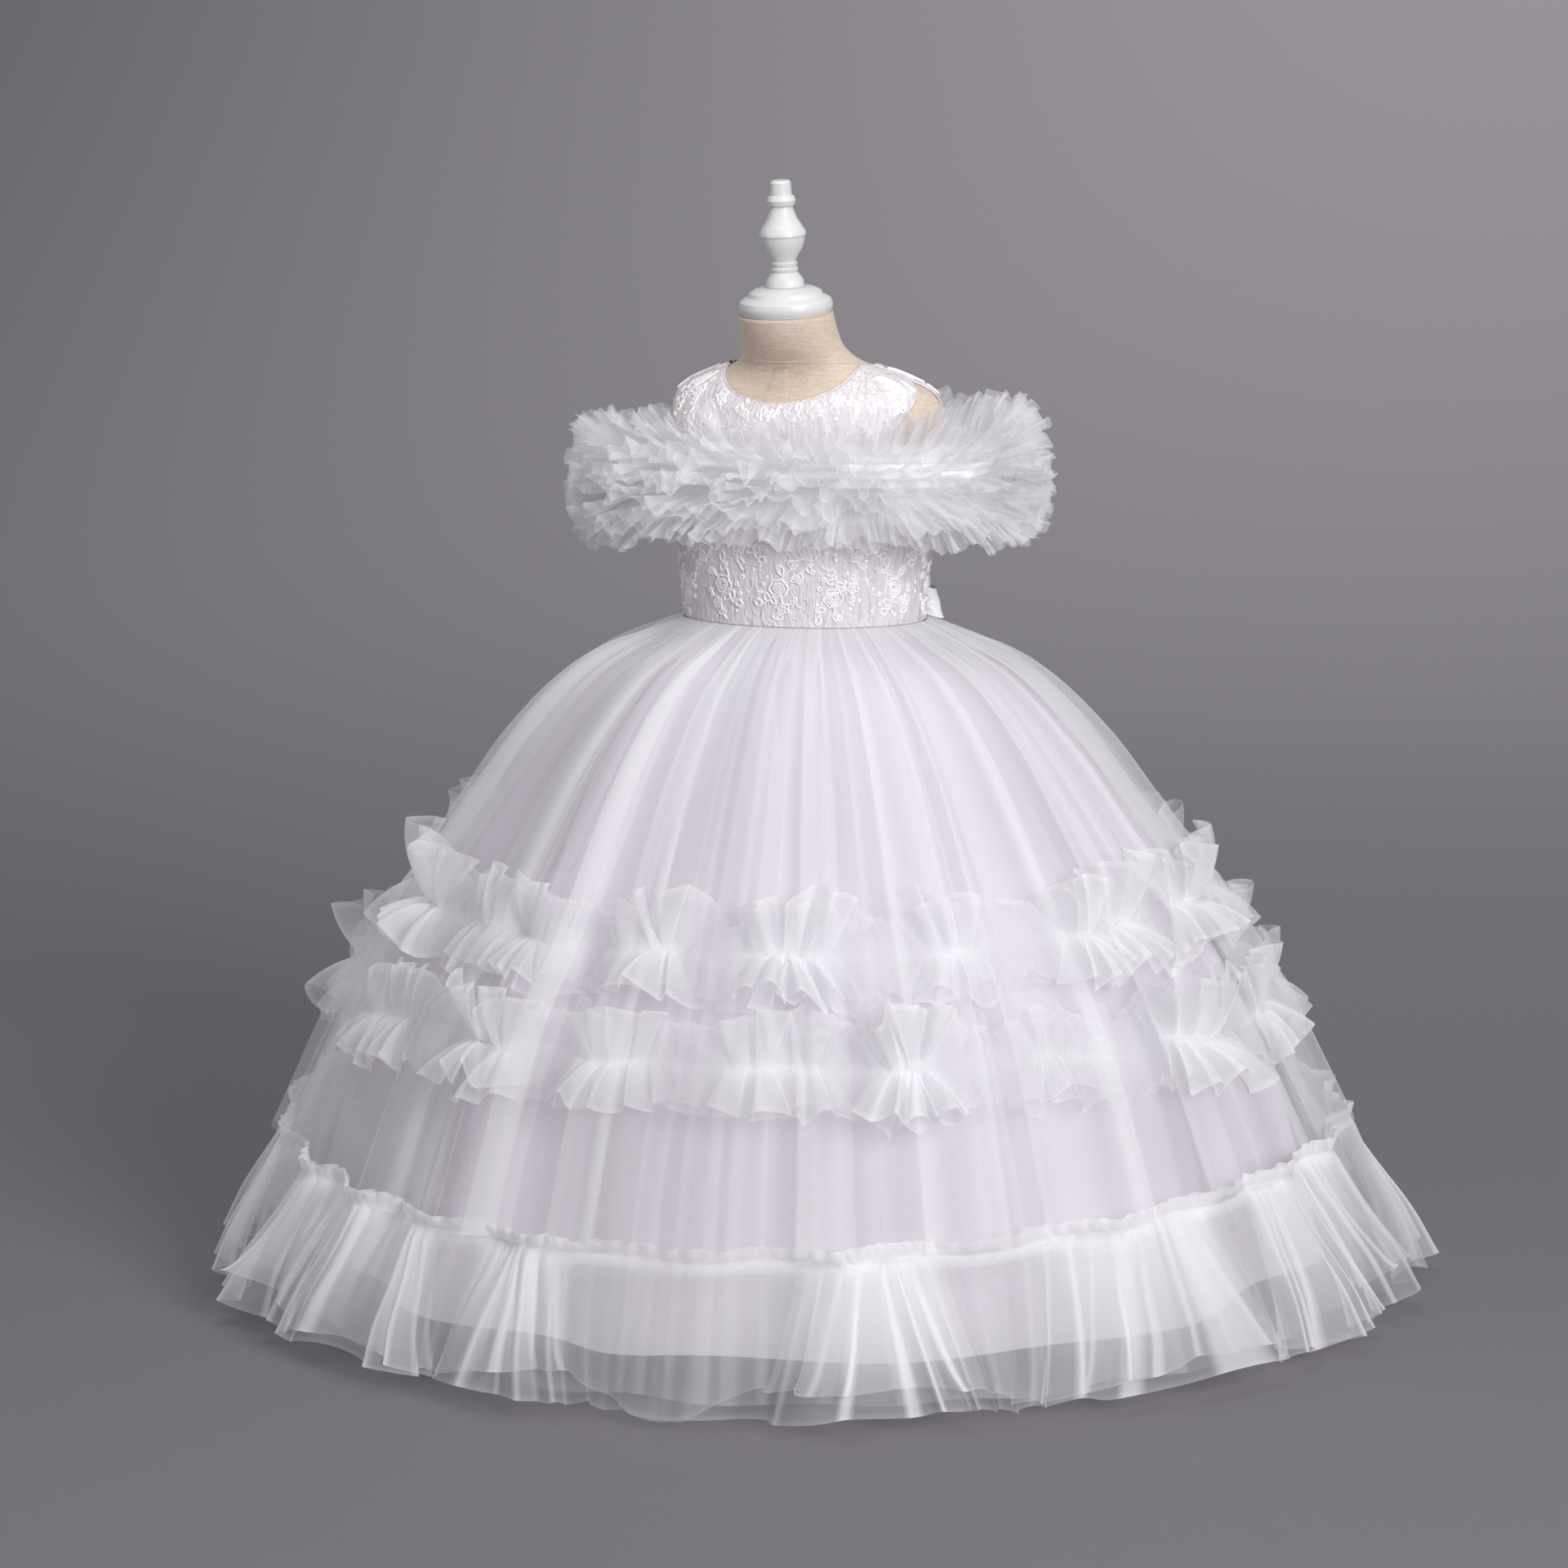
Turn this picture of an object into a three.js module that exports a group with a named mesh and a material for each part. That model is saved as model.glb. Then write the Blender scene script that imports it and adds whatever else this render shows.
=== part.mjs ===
// A child's princess ball gown on a limbless, linen-covered dress form.
// Millimetres, +Z up, the front faces -Y, and the wearer's left is +X. The origin is on the floor,
// on the axis of the pole that carries the form.
import * as THREE from "three";

// Driving dimensions

const SEAM_GAP = 0.3; // between pieces that are sewn or set together
const LACE_WALL = 2; // satin with embroidered lace over it
const SATIN_WALL = 1.4;
const TULLE_WALL = 1.2;
const BODICE_EASE = 0.6; // between the form and the bodice
const SHOULDER_EASE = 0.9; // and this much more at the shoulders

const WAIST_Z = 561; // the seam between bodice and skirt
const UNDERARM_Z = 676;
const SHOULDER_TIP_Z = 757; // outer end of the shoulder seam
const NECK_POINT_Z = 768; // inner end of the shoulder seam
const FRONT_NECK_Z = 740; // lowest point of the neckline in front
const BACK_NECK_Z = 757;
const NECK_HALF_WIDTH = 58;
const FRONT_ARMHOLE_DEPTH = 34; // degrees that the armhole cuts into the front
const BACK_ARMHOLE_DEPTH = 26;
const ZIP_HALF_WIDTH = 3;

const SKIRT_COLUMNS = 96; // points round every ring of the skirt
const LINING_COLUMNS = 48;
const SKIRT_FOLDS = 24;
const SKIRT_FRILL_WAVES = 18; // waves along each edge of a skirt frill
const FLOUNCE_WAVES = 26;
const SKIRT_SEED = 1; // where the folds of the skirt and its lining start
const LINING_SEED = 0.4;
const STITCH_LIFT = 0.42; // of a frill's stitch line off the skirt
const HEM_Z = 12;

const BAND_COLUMNS = 72; // points round the off-shoulder band
const BAND_HALF_WIDTH = 172;
const BAND_HALF_DEPTH = 90.5;
const BAND_HEIGHT = 64;
const BAND_CENTRE_Z = 679;
const BAND_WAVES = 16;
const BAND_SEAM_COLUMN = 7; // the sleeve band starts this many columns from centre front
const RIGHT_SLEEVE_DROP = 14; // the wearer's right sleeve hangs lower
const BAND_RUFFLE_WAVE = 7; // height of the waves along a ruffle's edge
const FRONT_RUFFLE_CUT = 0.12; // share by which the ruffles are shorter at centre front

const NECK_TILT = 6; // degrees that the neck's top plane leans forward
const POLE_RADIUS = 11;
const BASE_RADIUS = 130;
const BASE_HEIGHT = 16;

// Tables, one row for each section

const TORSO_SECTIONS = [
  { z: 386, halfWidth: 88, halfDepth: 68, centreY: 4 },
  { z: 390, halfWidth: 98, halfDepth: 78, centreY: 4 },
  { z: 402, halfWidth: 105, halfDepth: 85, centreY: 5 },
  { z: 440, halfWidth: 109, halfDepth: 88, centreY: 6 },
  { z: 500, halfWidth: 105, halfDepth: 85, centreY: 3 },
  { z: 561, halfWidth: 102, halfDepth: 82, centreY: 0 },
  { z: 600, halfWidth: 105, halfDepth: 84, centreY: 0 },
  { z: 640, halfWidth: 108.5, halfDepth: 85.5, centreY: 0 },
  { z: 680, halfWidth: 112, halfDepth: 84.5, centreY: 0 },
  { z: 705, halfWidth: 115.5, halfDepth: 80.5, centreY: 1 },
  { z: 722, halfWidth: 118.5, halfDepth: 74, centreY: 2 },
  { z: 736, halfWidth: 118, halfDepth: 66, centreY: 3 },
  { z: 746, halfWidth: 112, halfDepth: 59, centreY: 3 },
  { z: 753, halfWidth: 102, halfDepth: 53.5, centreY: 3 },
  { z: 759, halfWidth: 88, halfDepth: 49.5, centreY: 2 },
  { z: 764, halfWidth: 74, halfDepth: 47, centreY: 0 },
  { z: 769, halfWidth: 60, halfDepth: 45, centreY: -4 },
  { z: 775, halfWidth: 49, halfDepth: 43, centreY: -11 },
  { z: 785, halfWidth: 42.5, halfDepth: 40.5, centreY: -23 },
  { z: 798, halfWidth: 40, halfDepth: 39.5, centreY: -31 },
  { z: 812, halfWidth: 38.5, halfDepth: 38.5, centreY: -36 },
];

// Outer tulle: fold is the height of its folds, frontRise how much higher a row hangs in front.
const TULLE_SECTIONS = [
  { z: 560.7, halfWidth: 105.5, halfDepth: 85.5, centreY: 0, fold: 0, frontRise: 0 },
  { z: 548, halfWidth: 134, halfDepth: 118, centreY: 1, fold: 3, frontRise: 0 },
  { z: 518, halfWidth: 188, halfDepth: 174, centreY: 3, fold: 5, frontRise: 0 },
  { z: 464, halfWidth: 242, halfDepth: 231, centreY: 8, fold: 7, frontRise: 0 },
  { z: 410, halfWidth: 281, halfDepth: 273, centreY: 12, fold: 8, frontRise: 0 },
  { z: 342, halfWidth: 330, halfDepth: 325, centreY: 16, fold: 8, frontRise: -10 },
  { z: 253, halfWidth: 386, halfDepth: 382, centreY: 19, fold: 9, frontRise: 5 },
  { z: 140, halfWidth: 444, halfDepth: 441, centreY: 19, fold: 9, frontRise: -21 },
];
const UPPER_FRILL_SECTION = 5; // rows of the table that carry the two frills
const LOWER_FRILL_SECTION = 6;

const LINING_SECTIONS = [
  { z: 559, halfWidth: 103.3, halfDepth: 83.3, centreY: 0, fold: 0 },
  { z: 548, halfWidth: 121, halfDepth: 104, centreY: 1, fold: 1 },
  { z: 518, halfWidth: 168, halfDepth: 154, centreY: 3, fold: 3 },
  { z: 464, halfWidth: 214, halfDepth: 203, centreY: 8, fold: 5 },
  { z: 342, halfWidth: 298, halfDepth: 292, centreY: 16, fold: 8 },
  { z: 200, halfWidth: 372, halfDepth: 369, centreY: 20, fold: 10 },
  { z: 36, halfWidth: 419, halfDepth: 417, centreY: 26, fold: 11 },
];
const LINING_FOLDS = 12;

// Flaps of a skirt frill: length from the stitch line, slant off the skirt in degrees, wave height.
const FRILL_FLAPS = {
  upper: { length: 45, slant: 42, wave: 7 },
  lower: { length: 49, slant: 28, wave: 7 },
};

// Flounce below its stitch line: share is the way down from there to the hem.
const FLOUNCE_SECTIONS = [
  { share: 0.3, halfWidth: 468, centreY: 21, fold: 5 },
  { share: 0.65, halfWidth: 491, centreY: 25, fold: 9 },
  { share: 1, halfWidth: 505, centreY: 28, fold: 12 },
];

// The small frill above the flounce's stitch line: its height, how far it stands off, and its waves.
const FLOUNCE_HEADING = { rise: 13, off: 6, fold: 2 };

// Ruffles of the off-shoulder band: height of the root above the band's middle, and how it stands.
const BAND_RUFFLES = [
  { root: 26, rise: 62, length: 44 },
  { root: 8, rise: 22, length: 44 },
  { root: -8, rise: -18, length: 44 },
  { root: -24, rise: -52, length: 38 },
];

const FINIAL_PROFILE = [
  { height: 0, radius: 15.6 },
  { height: 4.6, radius: 15.6 },
  { height: 7.4, radius: 14 },
  { height: 12, radius: 10.6 },
  { height: 13, radius: 11.4 },
  { height: 14.8, radius: 11.6 },
  { height: 16.3, radius: 10 },
  { height: 17.6, radius: 11 },
  { height: 19.4, radius: 11.2 },
  { height: 20.9, radius: 9.6 },
  { height: 25, radius: 11.8 },
  { height: 30.5, radius: 15.6 },
  { height: 37, radius: 17.6 },
  { height: 40.7, radius: 17.9 },
  { height: 41.6, radius: 19 },
  { height: 44.4, radius: 19 },
  { height: 48.1, radius: 16.6 },
  { height: 55.5, radius: 12.2 },
  { height: 64.8, radius: 9 },
  { height: 66.1, radius: 10.8 },
  { height: 69.8, radius: 11.9 },
  { height: 73.1, radius: 10.6 },
  { height: 74, radius: 8.9 },
  { height: 84.2, radius: 8.5 },
  { height: 86, radius: 7 },
];

const CAP_PROFILE = [
  { height: 0, radius: 35.5 },
  { height: 3, radius: 38 },
  { height: 7, radius: 38.6 },
  { height: 11, radius: 37.4 },
  { height: 13.5, radius: 34 },
  { height: 14.5, radius: 31 },
  { height: 18, radius: 29.5 },
  { height: 21, radius: 24 },
  { height: 22, radius: 18 },
];
const CAP_HEIGHT = 22;

// Heights of the bodice's rows of points: closer where its edges curve
const BODICE_LEVELS = [
  ...[WAIST_Z, 600, 640, UNDERARM_Z, 679, 684, 691, 700, 713, 728, FRONT_NECK_Z, 743.5, 749, 754],
  ...[BACK_NECK_Z, 758.3, 760.5, 764, NECK_POINT_Z],
];
const TORSO_COLUMNS = 32;

// Bow tails, laid on the back of the skirt: lift is how far they stand off its mean surface.
const TAIL_SECTIONS = [
  { z: 559.6, lift: 1.7, centre: 9, width: 13 },
  { z: 552, lift: 4, centre: 13, width: 22 },
  { z: 542, lift: 6, centre: 18, width: 32 },
  { z: 518, lift: 9, centre: 28, width: 44 },
  { z: 464, lift: 11, centre: 46, width: 54 },
  { z: 400, lift: 12, centre: 62, width: 58 },
];

// The bow: half sizes of its knot, and a loop's length, its height at the knot and at the tip, how far
// its two sides bulge apart, and how much its tip droops.
const KNOT = { y: 94.5, z: 577.5, halfWidth: 13, halfDepth: 8.5, halfHeight: 15.5 };
const LOOP = { length: 68, rootHeight: 22, tipHeight: 33, bulge: 13, droop: 7 };

// General helpers

const radians = THREE.MathUtils.degToRad;

// A column of a table at height z, by a smooth curve through the rows (Catmull-Rom on uneven steps).
function columnAt(table, key, z) {
  const rising = table[table.length - 1].z > table[0].z;
  let i = 0;
  while (i < table.length - 2 && (rising ? z > table[i + 1].z : z < table[i + 1].z)) i += 1;
  const a = table[i];
  const b = table[i + 1];
  const before = table[Math.max(i - 1, 0)];
  const after = table[Math.min(i + 2, table.length - 1)];
  const span = b.z - a.z;
  const t = THREE.MathUtils.clamp((z - a.z) / span, 0, 1);
  const slopeA = ((b[key] - before[key]) / (b.z - before.z)) * span;
  const slopeB = ((after[key] - a[key]) / (after.z - a.z)) * span;
  const t2 = t * t;
  const t3 = t2 * t;
  return (
    (2 * t3 - 3 * t2 + 1) * a[key] +
    (t3 - 2 * t2 + t) * slopeA +
    (3 * t2 - 2 * t3) * b[key] +
    (t3 - t2) * slopeB
  );
}

// Uneven folds round a ring, from -1 to 1. They join up after a full turn.
function folds(angle, count, seed) {
  const shift = 0.8 * Math.sin(3 * angle + seed) + 0.45 * Math.sin(7 * angle + 1.7 * seed);
  const size = 0.78 + 0.22 * Math.sin(5 * angle + 2.3 * seed);
  return size * Math.sin(count * angle + shift + seed);
}

// The share of a full front view that an angle has: 1 at centre front, 0 from the sides back.
function frontShare(angle) {
  return Math.max(0, Math.cos(angle)) ** 1.5;
}

// A point's surface normal, from two small steps over the surface.
function normalOf(surface, u, v) {
  const step = 1e-3;
  const alongU = surface(u + step, v).sub(surface(u - step, v));
  const alongV = surface(u, v + step).sub(surface(u, v - step));
  return alongU.cross(alongV).normalize();
}

// An open sheet from one or more grids of points. Points that coincide are shared.
function sheetOf(grids, closed = false) {
  const points = [];
  const known = new Map();
  const faces = [];
  const indexOf = (p) => {
    const key = p.toArray().map((x) => x.toFixed(3)).join();
    if (!known.has(key)) {
      known.set(key, points.length);
      points.push(p);
    }
    return known.get(key);
  };
  for (const grid of grids) {
    const index = grid.map((row) => row.map(indexOf));
    for (let i = 0; i + 1 < index.length; i += 1) {
      const count = index[i].length;
      for (let j = 0; j < (closed ? count : count - 1); j += 1) {
        const k = (j + 1) % count;
        const [a, b, c, d] = [index[i][j], index[i][k], index[i + 1][k], index[i + 1][j]];
        faces.push([a, b, c], [a, c, d]);
      }
    }
  }
  return { points, faces };
}

// A closed geometry with its faces pointing out, from points and triangles.
function closedGeometry(points, faces) {
  const volume = faces.reduce((sum, [a, b, c]) => {
    return sum + points[a].dot(points[b].clone().cross(points[c]));
  }, 0);
  const turned = volume < 0 ? faces.map(([a, b, c]) => [a, c, b]) : faces;
  const geometry = new THREE.BufferGeometry().setFromPoints(points);
  geometry.setIndex(turned.flat());
  geometry.computeVertexNormals();
  return geometry;
}

// Walls a sheet: its points on one side, the given points on the other, and its edges closed.
function wallBetween(sheet, otherPoints) {
  const count = sheet.points.length;
  const edges = new Set(sheet.faces.flatMap(([a, b, c]) => [`${a},${b}`, `${b},${c}`, `${c},${a}`]));
  const faces = [...sheet.faces, ...sheet.faces.map(([a, b, c]) => [a + count, c + count, b + count])];
  for (const edge of edges) {
    const [a, b] = edge.split(",").map(Number);
    if (!edges.has(`${b},${a}`)) faces.push([b, a, a + count], [b, a + count, b + count]);
  }
  return closedGeometry([...sheet.points, ...otherPoints], faces);
}

// A grid moved along its own normals: across a row, then from row to row, by the right-hand rule.
function moved(grid, distance, closed = false) {
  return grid.map((row, i) => {
    const above = grid[Math.max(i - 1, 0)];
    const below = grid[Math.min(i + 1, grid.length - 1)];
    const last = row.length - 1;
    return row.map((p, j) => {
      const next = closed ? (j + 1) % row.length : Math.min(j + 1, last);
      const previous = closed ? (j + last) % row.length : Math.max(j - 1, 0);
      const across = row[next].clone().sub(row[previous]);
      const normal = across.cross(below[j].clone().sub(above[j])).normalize();
      return p.clone().addScaledVector(normal, distance);
    });
  });
}

// A wall of one thickness from a grid, to the side that its normals face.
function thicken(grid, thickness, closed = false) {
  return wallBetween(sheetOf([grid], closed), sheetOf([moved(grid, thickness, closed)], closed).points);
}

// A closed solid through a stack of rings, with flat ends.
function loft(rings) {
  const { points, faces } = sheetOf([rings], true);
  const size = rings[0].length;
  for (const start of [0, points.length - size]) {
    const ring = points.slice(start, start + size);
    const centre = ring.reduce((sum, p) => sum.add(p), new THREE.Vector3()).divideScalar(size);
    const hub = points.push(centre) - 1;
    ring.forEach((_, j) => {
      const next = start + ((j + 1) % size);
      faces.push(start ? [start + j, next, hub] : [next, start + j, hub]);
    });
  }
  return closedGeometry(points, faces);
}

// A turned solid from a profile of heights and radii, standing on its own base along +Z.
function turned(profile, segments) {
  const outline = [
    new THREE.Vector2(0, profile[0].height),
    ...profile.map((p) => new THREE.Vector2(p.radius, p.height)),
    new THREE.Vector2(0, profile[profile.length - 1].height),
  ];
  return new THREE.LatheGeometry(outline, segments).rotateX(Math.PI / 2);
}

function range(from, to, steps) {
  return Array.from({ length: steps + 1 }, (_, i) => from + ((to - from) * i) / steps);
}

// Materials

const material = (color, roughness) => new THREE.MeshStandardMaterial({ color, roughness, metalness: 0 });
const LACE = material("#efecef", 0.6);
const TULLE = material("#f4f3f7", 0.85);
const SATIN = material("#f3eff0", 0.4);
const LINING = material("#ebe4e7", 0.5);
const LINEN = material("#d9c3ab", 0.9);
const PAINTED_WOOD = material("#f2f1f0", 0.45);

const gown = new THREE.Group();

function add(name, geometry, finish, parent = gown) {
  const mesh = new THREE.Mesh(geometry, finish);
  mesh.name = name;
  parent.add(mesh);
  return mesh;
}

// Dress form

// A point of the torso at an angle from centre front and a height. The neck's rings lean forward.
function torsoPoint(angle, z) {
  const halfWidth = columnAt(TORSO_SECTIONS, "halfWidth", z);
  const halfDepth = columnAt(TORSO_SECTIONS, "halfDepth", z);
  const lean = radians(NECK_TILT) * THREE.MathUtils.smoothstep(z, 772, 812);
  const y = -halfDepth * Math.cos(angle);
  return new THREE.Vector3(
    halfWidth * Math.sin(angle),
    columnAt(TORSO_SECTIONS, "centreY", z) + y,
    z + y * Math.tan(lean),
  );
}

function torsoSurface(angle, z, out) {
  const ease = SHOULDER_EASE * THREE.MathUtils.smoothstep(z, UNDERARM_Z - 45, UNDERARM_Z + 25);
  return torsoPoint(angle, z).addScaledVector(normalOf(torsoPoint, angle, z), out + ease);
}

function addForm() {
  const angles = range(0, 2 * Math.PI, TORSO_COLUMNS).slice(0, -1);
  const rings = TORSO_SECTIONS.map(({ z }) => angles.map((angle) => torsoPoint(angle, z)));
  add("form_torso", loft(rings), LINEN);

  const neckTop = TORSO_SECTIONS[TORSO_SECTIONS.length - 1];
  const head = new THREE.Group();
  head.position.set(0, neckTop.centreY, neckTop.z);
  head.rotation.x = radians(NECK_TILT);
  gown.add(head);
  add("form_neck_cap", turned(CAP_PROFILE, 20), PAINTED_WOOD, head).position.z = SEAM_GAP;
  add("form_finial", turned(FINIAL_PROFILE, 12), PAINTED_WOOD, head).position.z = CAP_HEIGHT + 2 * SEAM_GAP;

  const base = [
    { height: 0, radius: BASE_RADIUS },
    { height: BASE_HEIGHT - 5, radius: BASE_RADIUS },
    { height: BASE_HEIGHT, radius: BASE_RADIUS - 7 },
  ];
  const poleBottom = BASE_HEIGHT + SEAM_GAP;
  const pole = [
    { height: poleBottom, radius: 20 },
    { height: poleBottom + 18, radius: 20 },
    { height: poleBottom + 22, radius: POLE_RADIUS },
    { height: TORSO_SECTIONS[0].z - SEAM_GAP, radius: POLE_RADIUS },
  ];
  add("stand_base", turned(base, 32), PAINTED_WOOD);
  add("stand_pole", turned(pole, 16), PAINTED_WOOD);
}

// Bodice

// Angle from centre front (or back) of the armhole's edge at a height.
function armholeAngle(z, depth) {
  const share = THREE.MathUtils.clamp((z - UNDERARM_Z) / (SHOULDER_TIP_Z - UNDERARM_Z), 0, 1);
  const seam = SEAM_GAP / columnAt(TORSO_SECTIONS, "halfDepth", z);
  return Math.PI / 2 - Math.max(seam, radians(depth) * Math.sin(Math.PI * share) ** 0.7);
}

// Angle from centre front (or back) of the neckline at a height, or 0 below it.
function necklineAngle(z, lowest) {
  if (z <= lowest) return 0;
  const drop = (NECK_POINT_Z - z) / (NECK_POINT_Z - lowest);
  const halfWidth = NECK_HALF_WIDTH * Math.sqrt(Math.max(0, 1 - drop * drop));
  return Math.asin(Math.min(0.93, halfWidth / columnAt(TORSO_SECTIONS, "halfWidth", z)));
}

// Half of a bodice panel as a grid, from the centre out, on the form's surface moved out.
function bodiceGrid(side, isBack, out) {
  const lowest = isBack ? BACK_NECK_Z : FRONT_NECK_Z;
  const depth = isBack ? BACK_ARMHOLE_DEPTH : FRONT_ARMHOLE_DEPTH;
  return BODICE_LEVELS.map((z) => {
    const zipEdge = isBack ? (ZIP_HALF_WIDTH + SEAM_GAP) / columnAt(TORSO_SECTIONS, "halfWidth", z) : 0;
    const inner = Math.max(zipEdge, necklineAngle(z, lowest));
    const row = range(inner, armholeAngle(z, depth), TORSO_COLUMNS / 4).map((angle) => {
      const fromFront = isBack ? Math.PI - angle : angle;
      return torsoSurface(side * fromFront, z, out);
    });
    return side < 0 ? row.reverse() : row;
  });
}

// The closed seam strip of the zip, between the two back panels.
function zipGrid(out) {
  return BODICE_LEVELS.filter((z) => z < BACK_NECK_Z).map((z) => {
    const reach = ZIP_HALF_WIDTH / columnAt(TORSO_SECTIONS, "halfWidth", z);
    return [-reach, 0, reach].map((angle) => torsoSurface(Math.PI - angle, z, out));
  });
}

// Adds a wall over the form: makeGrids gives its grids for a distance from the form.
function addOverForm(name, makeGrids, wall, finish) {
  const inner = sheetOf(makeGrids(BODICE_EASE));
  const outer = sheetOf(makeGrids(BODICE_EASE + wall));
  add(name, wallBetween(inner, outer.points), finish);
}

function addBodice() {
  const front = (out) => [bodiceGrid(1, false, out), bodiceGrid(-1, false, out)];
  addOverForm("bodice_front", front, LACE_WALL, LACE);
  addOverForm("bodice_back_left", (out) => [bodiceGrid(1, true, out)], LACE_WALL, LACE);
  addOverForm("bodice_back_right", (out) => [bodiceGrid(-1, true, out)], LACE_WALL, LACE);
  addOverForm("back_zip", (out) => [zipGrid(out)], SATIN_WALL, SATIN);
}

// Skirt

// A ring of the skirt as a function of the angle, moved out by its folds.
function skirtRing(row, foldCount, seed) {
  return (angle) => {
    const shape = row.fold * folds(angle, foldCount, seed);
    return new THREE.Vector3(
      (row.halfWidth + shape) * Math.sin(angle),
      row.centreY - (row.halfDepth + shape) * Math.cos(angle),
      row.z + (row.frontRise ?? 0) * frontShare(angle),
    );
  };
}

// Even angles round a ring, from the wearer's right side seam over the front.
function ringAngles(columns) {
  return range(-Math.PI / 2, 1.5 * Math.PI, columns).slice(0, -1);
}

// Front and back halves of a closed grid as walls, parted at both side seams by the seam's gap.
function addHalves(name, grid, thickness, finish) {
  const columns = grid[0].length;
  const other = moved(grid, thickness, true);
  const trim = (end, inner) => end.lerp(inner, SEAM_GAP / 2 / end.distanceTo(inner));
  const half = (rows, start) => rows.map((row) => {
    const strip = range(start, start + columns / 2, columns / 2).map((j) => row[j % columns].clone());
    trim(strip[0], strip[1]);
    trim(strip[strip.length - 1], strip[strip.length - 2]);
    return strip;
  });
  for (const [side, start] of [["front", 0], ["back", columns / 2]]) {
    const wall = wallBetween(sheetOf([half(grid, start)]), half(other, start).flat());
    add(`${name}_${side}`, wall, finish);
  }
}

function skirtGrid(sections, foldCount, seed, columns) {
  const angles = ringAngles(columns);
  return sections.map((row) => angles.map(skirtRing(row, foldCount, seed)));
}

// Direction down along the skirt's mean profile at a section, and the normal out of it, as
// [radial, up] pairs.
function profileFrame(index) {
  const above = TULLE_SECTIONS[index - 1];
  const here = TULLE_SECTIONS[index];
  const below = TULLE_SECTIONS[index + 1] ?? here;
  const down = new THREE.Vector2(below.halfWidth - above.halfWidth, below.z - above.z).normalize();
  return { down, out: new THREE.Vector2(-down.y, down.x) };
}

// Moves a point of a ring in the radial plane at its angle, down along the skirt and off it.
function moveBy({ down, out }, point, angle, along, off) {
  const radial = along * down.x + off * out.x;
  const up = along * down.y + off * out.y;
  return point.add(new THREE.Vector3(radial * Math.sin(angle), -radial * Math.cos(angle), up));
}

// A frill gathered along its middle: an upper and a lower flap stand off the skirt at a slant.
function addSkirtFrill(name, index, seed) {
  const frame = profileFrame(index);
  const root = skirtRing(TULLE_SECTIONS[index], SKIRT_FOLDS, SKIRT_SEED);
  const flap = (direction, { length, slant, wave }) => (angle) => {
    const across = wave * folds(angle, SKIRT_FRILL_WAVES, seed + direction);
    const tilt = radians(slant);
    const along = direction * (length * Math.cos(tilt) - across * Math.sin(tilt));
    const off = length * Math.sin(tilt) + across * Math.cos(tilt) + SEAM_GAP;
    return moveBy(frame, root(angle), angle, along, off);
  };
  const stitchLine = (angle) => moveBy(frame, root(angle), angle, 0, STITCH_LIFT);
  const rings = [flap(1, FRILL_FLAPS.lower), stitchLine, flap(-1, FRILL_FLAPS.upper)];
  const angles = ringAngles(SKIRT_COLUMNS);
  add(name, thicken(rings.map((ring) => angles.map(ring)), TULLE_WALL, true), TULLE);
}

function addHemFlounce() {
  const last = TULLE_SECTIONS.length - 1;
  const frame = profileFrame(last);
  const root = skirtRing(TULLE_SECTIONS[last], SKIRT_FOLDS, SKIRT_SEED);
  const wave = (angle) => folds(angle, FLOUNCE_WAVES, 2);
  const { rise, off, fold } = FLOUNCE_HEADING;
  const heading = (angle) => moveBy(frame, root(angle), angle, -rise, off + fold * wave(angle));
  const stitchLine = (angle) => moveBy(frame, root(angle), angle, 0, STITCH_LIFT);
  const below = FLOUNCE_SECTIONS.map((row) => (angle) => {
    const radius = row.halfWidth + row.fold * wave(angle);
    const z = THREE.MathUtils.lerp(root(angle).z, HEM_Z, row.share);
    return new THREE.Vector3(radius * Math.sin(angle), row.centreY - radius * Math.cos(angle), z);
  });
  const angles = ringAngles(SKIRT_COLUMNS);
  const grid = [...below.reverse(), stitchLine, heading].map((ring) => angles.map(ring));
  addHalves("hem_flounce", grid, TULLE_WALL, TULLE);
}

function addSkirt() {
  const lining = skirtGrid(LINING_SECTIONS, LINING_FOLDS, LINING_SEED, LINING_COLUMNS);
  const tulle = skirtGrid(TULLE_SECTIONS, SKIRT_FOLDS, SKIRT_SEED, SKIRT_COLUMNS);
  addHalves("skirt_lining", lining, SATIN_WALL, LINING);
  addHalves("skirt_tulle", tulle, TULLE_WALL, TULLE);
  addSkirtFrill("skirt_frill_upper", UPPER_FRILL_SECTION, 0.7);
  addSkirtFrill("skirt_frill_lower", LOWER_FRILL_SECTION, 2.9);
  addHemFlounce();
}

// Off-shoulder band with its ruffles

// How far the band hangs below its mean height at an angle from centre front.
function bandDrop(angle) {
  return RIGHT_SLEEVE_DROP * Math.max(0, -Math.sin(angle)) ** 2;
}

// A point of the band: height above its middle, and how far out of its outer face.
function bandPoint(angle, height, out) {
  return new THREE.Vector3(
    (BAND_HALF_WIDTH + out) * Math.sin(angle),
    -(BAND_HALF_DEPTH + out) * Math.cos(angle),
    BAND_CENTRE_Z - bandDrop(angle) + height,
  );
}

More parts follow.
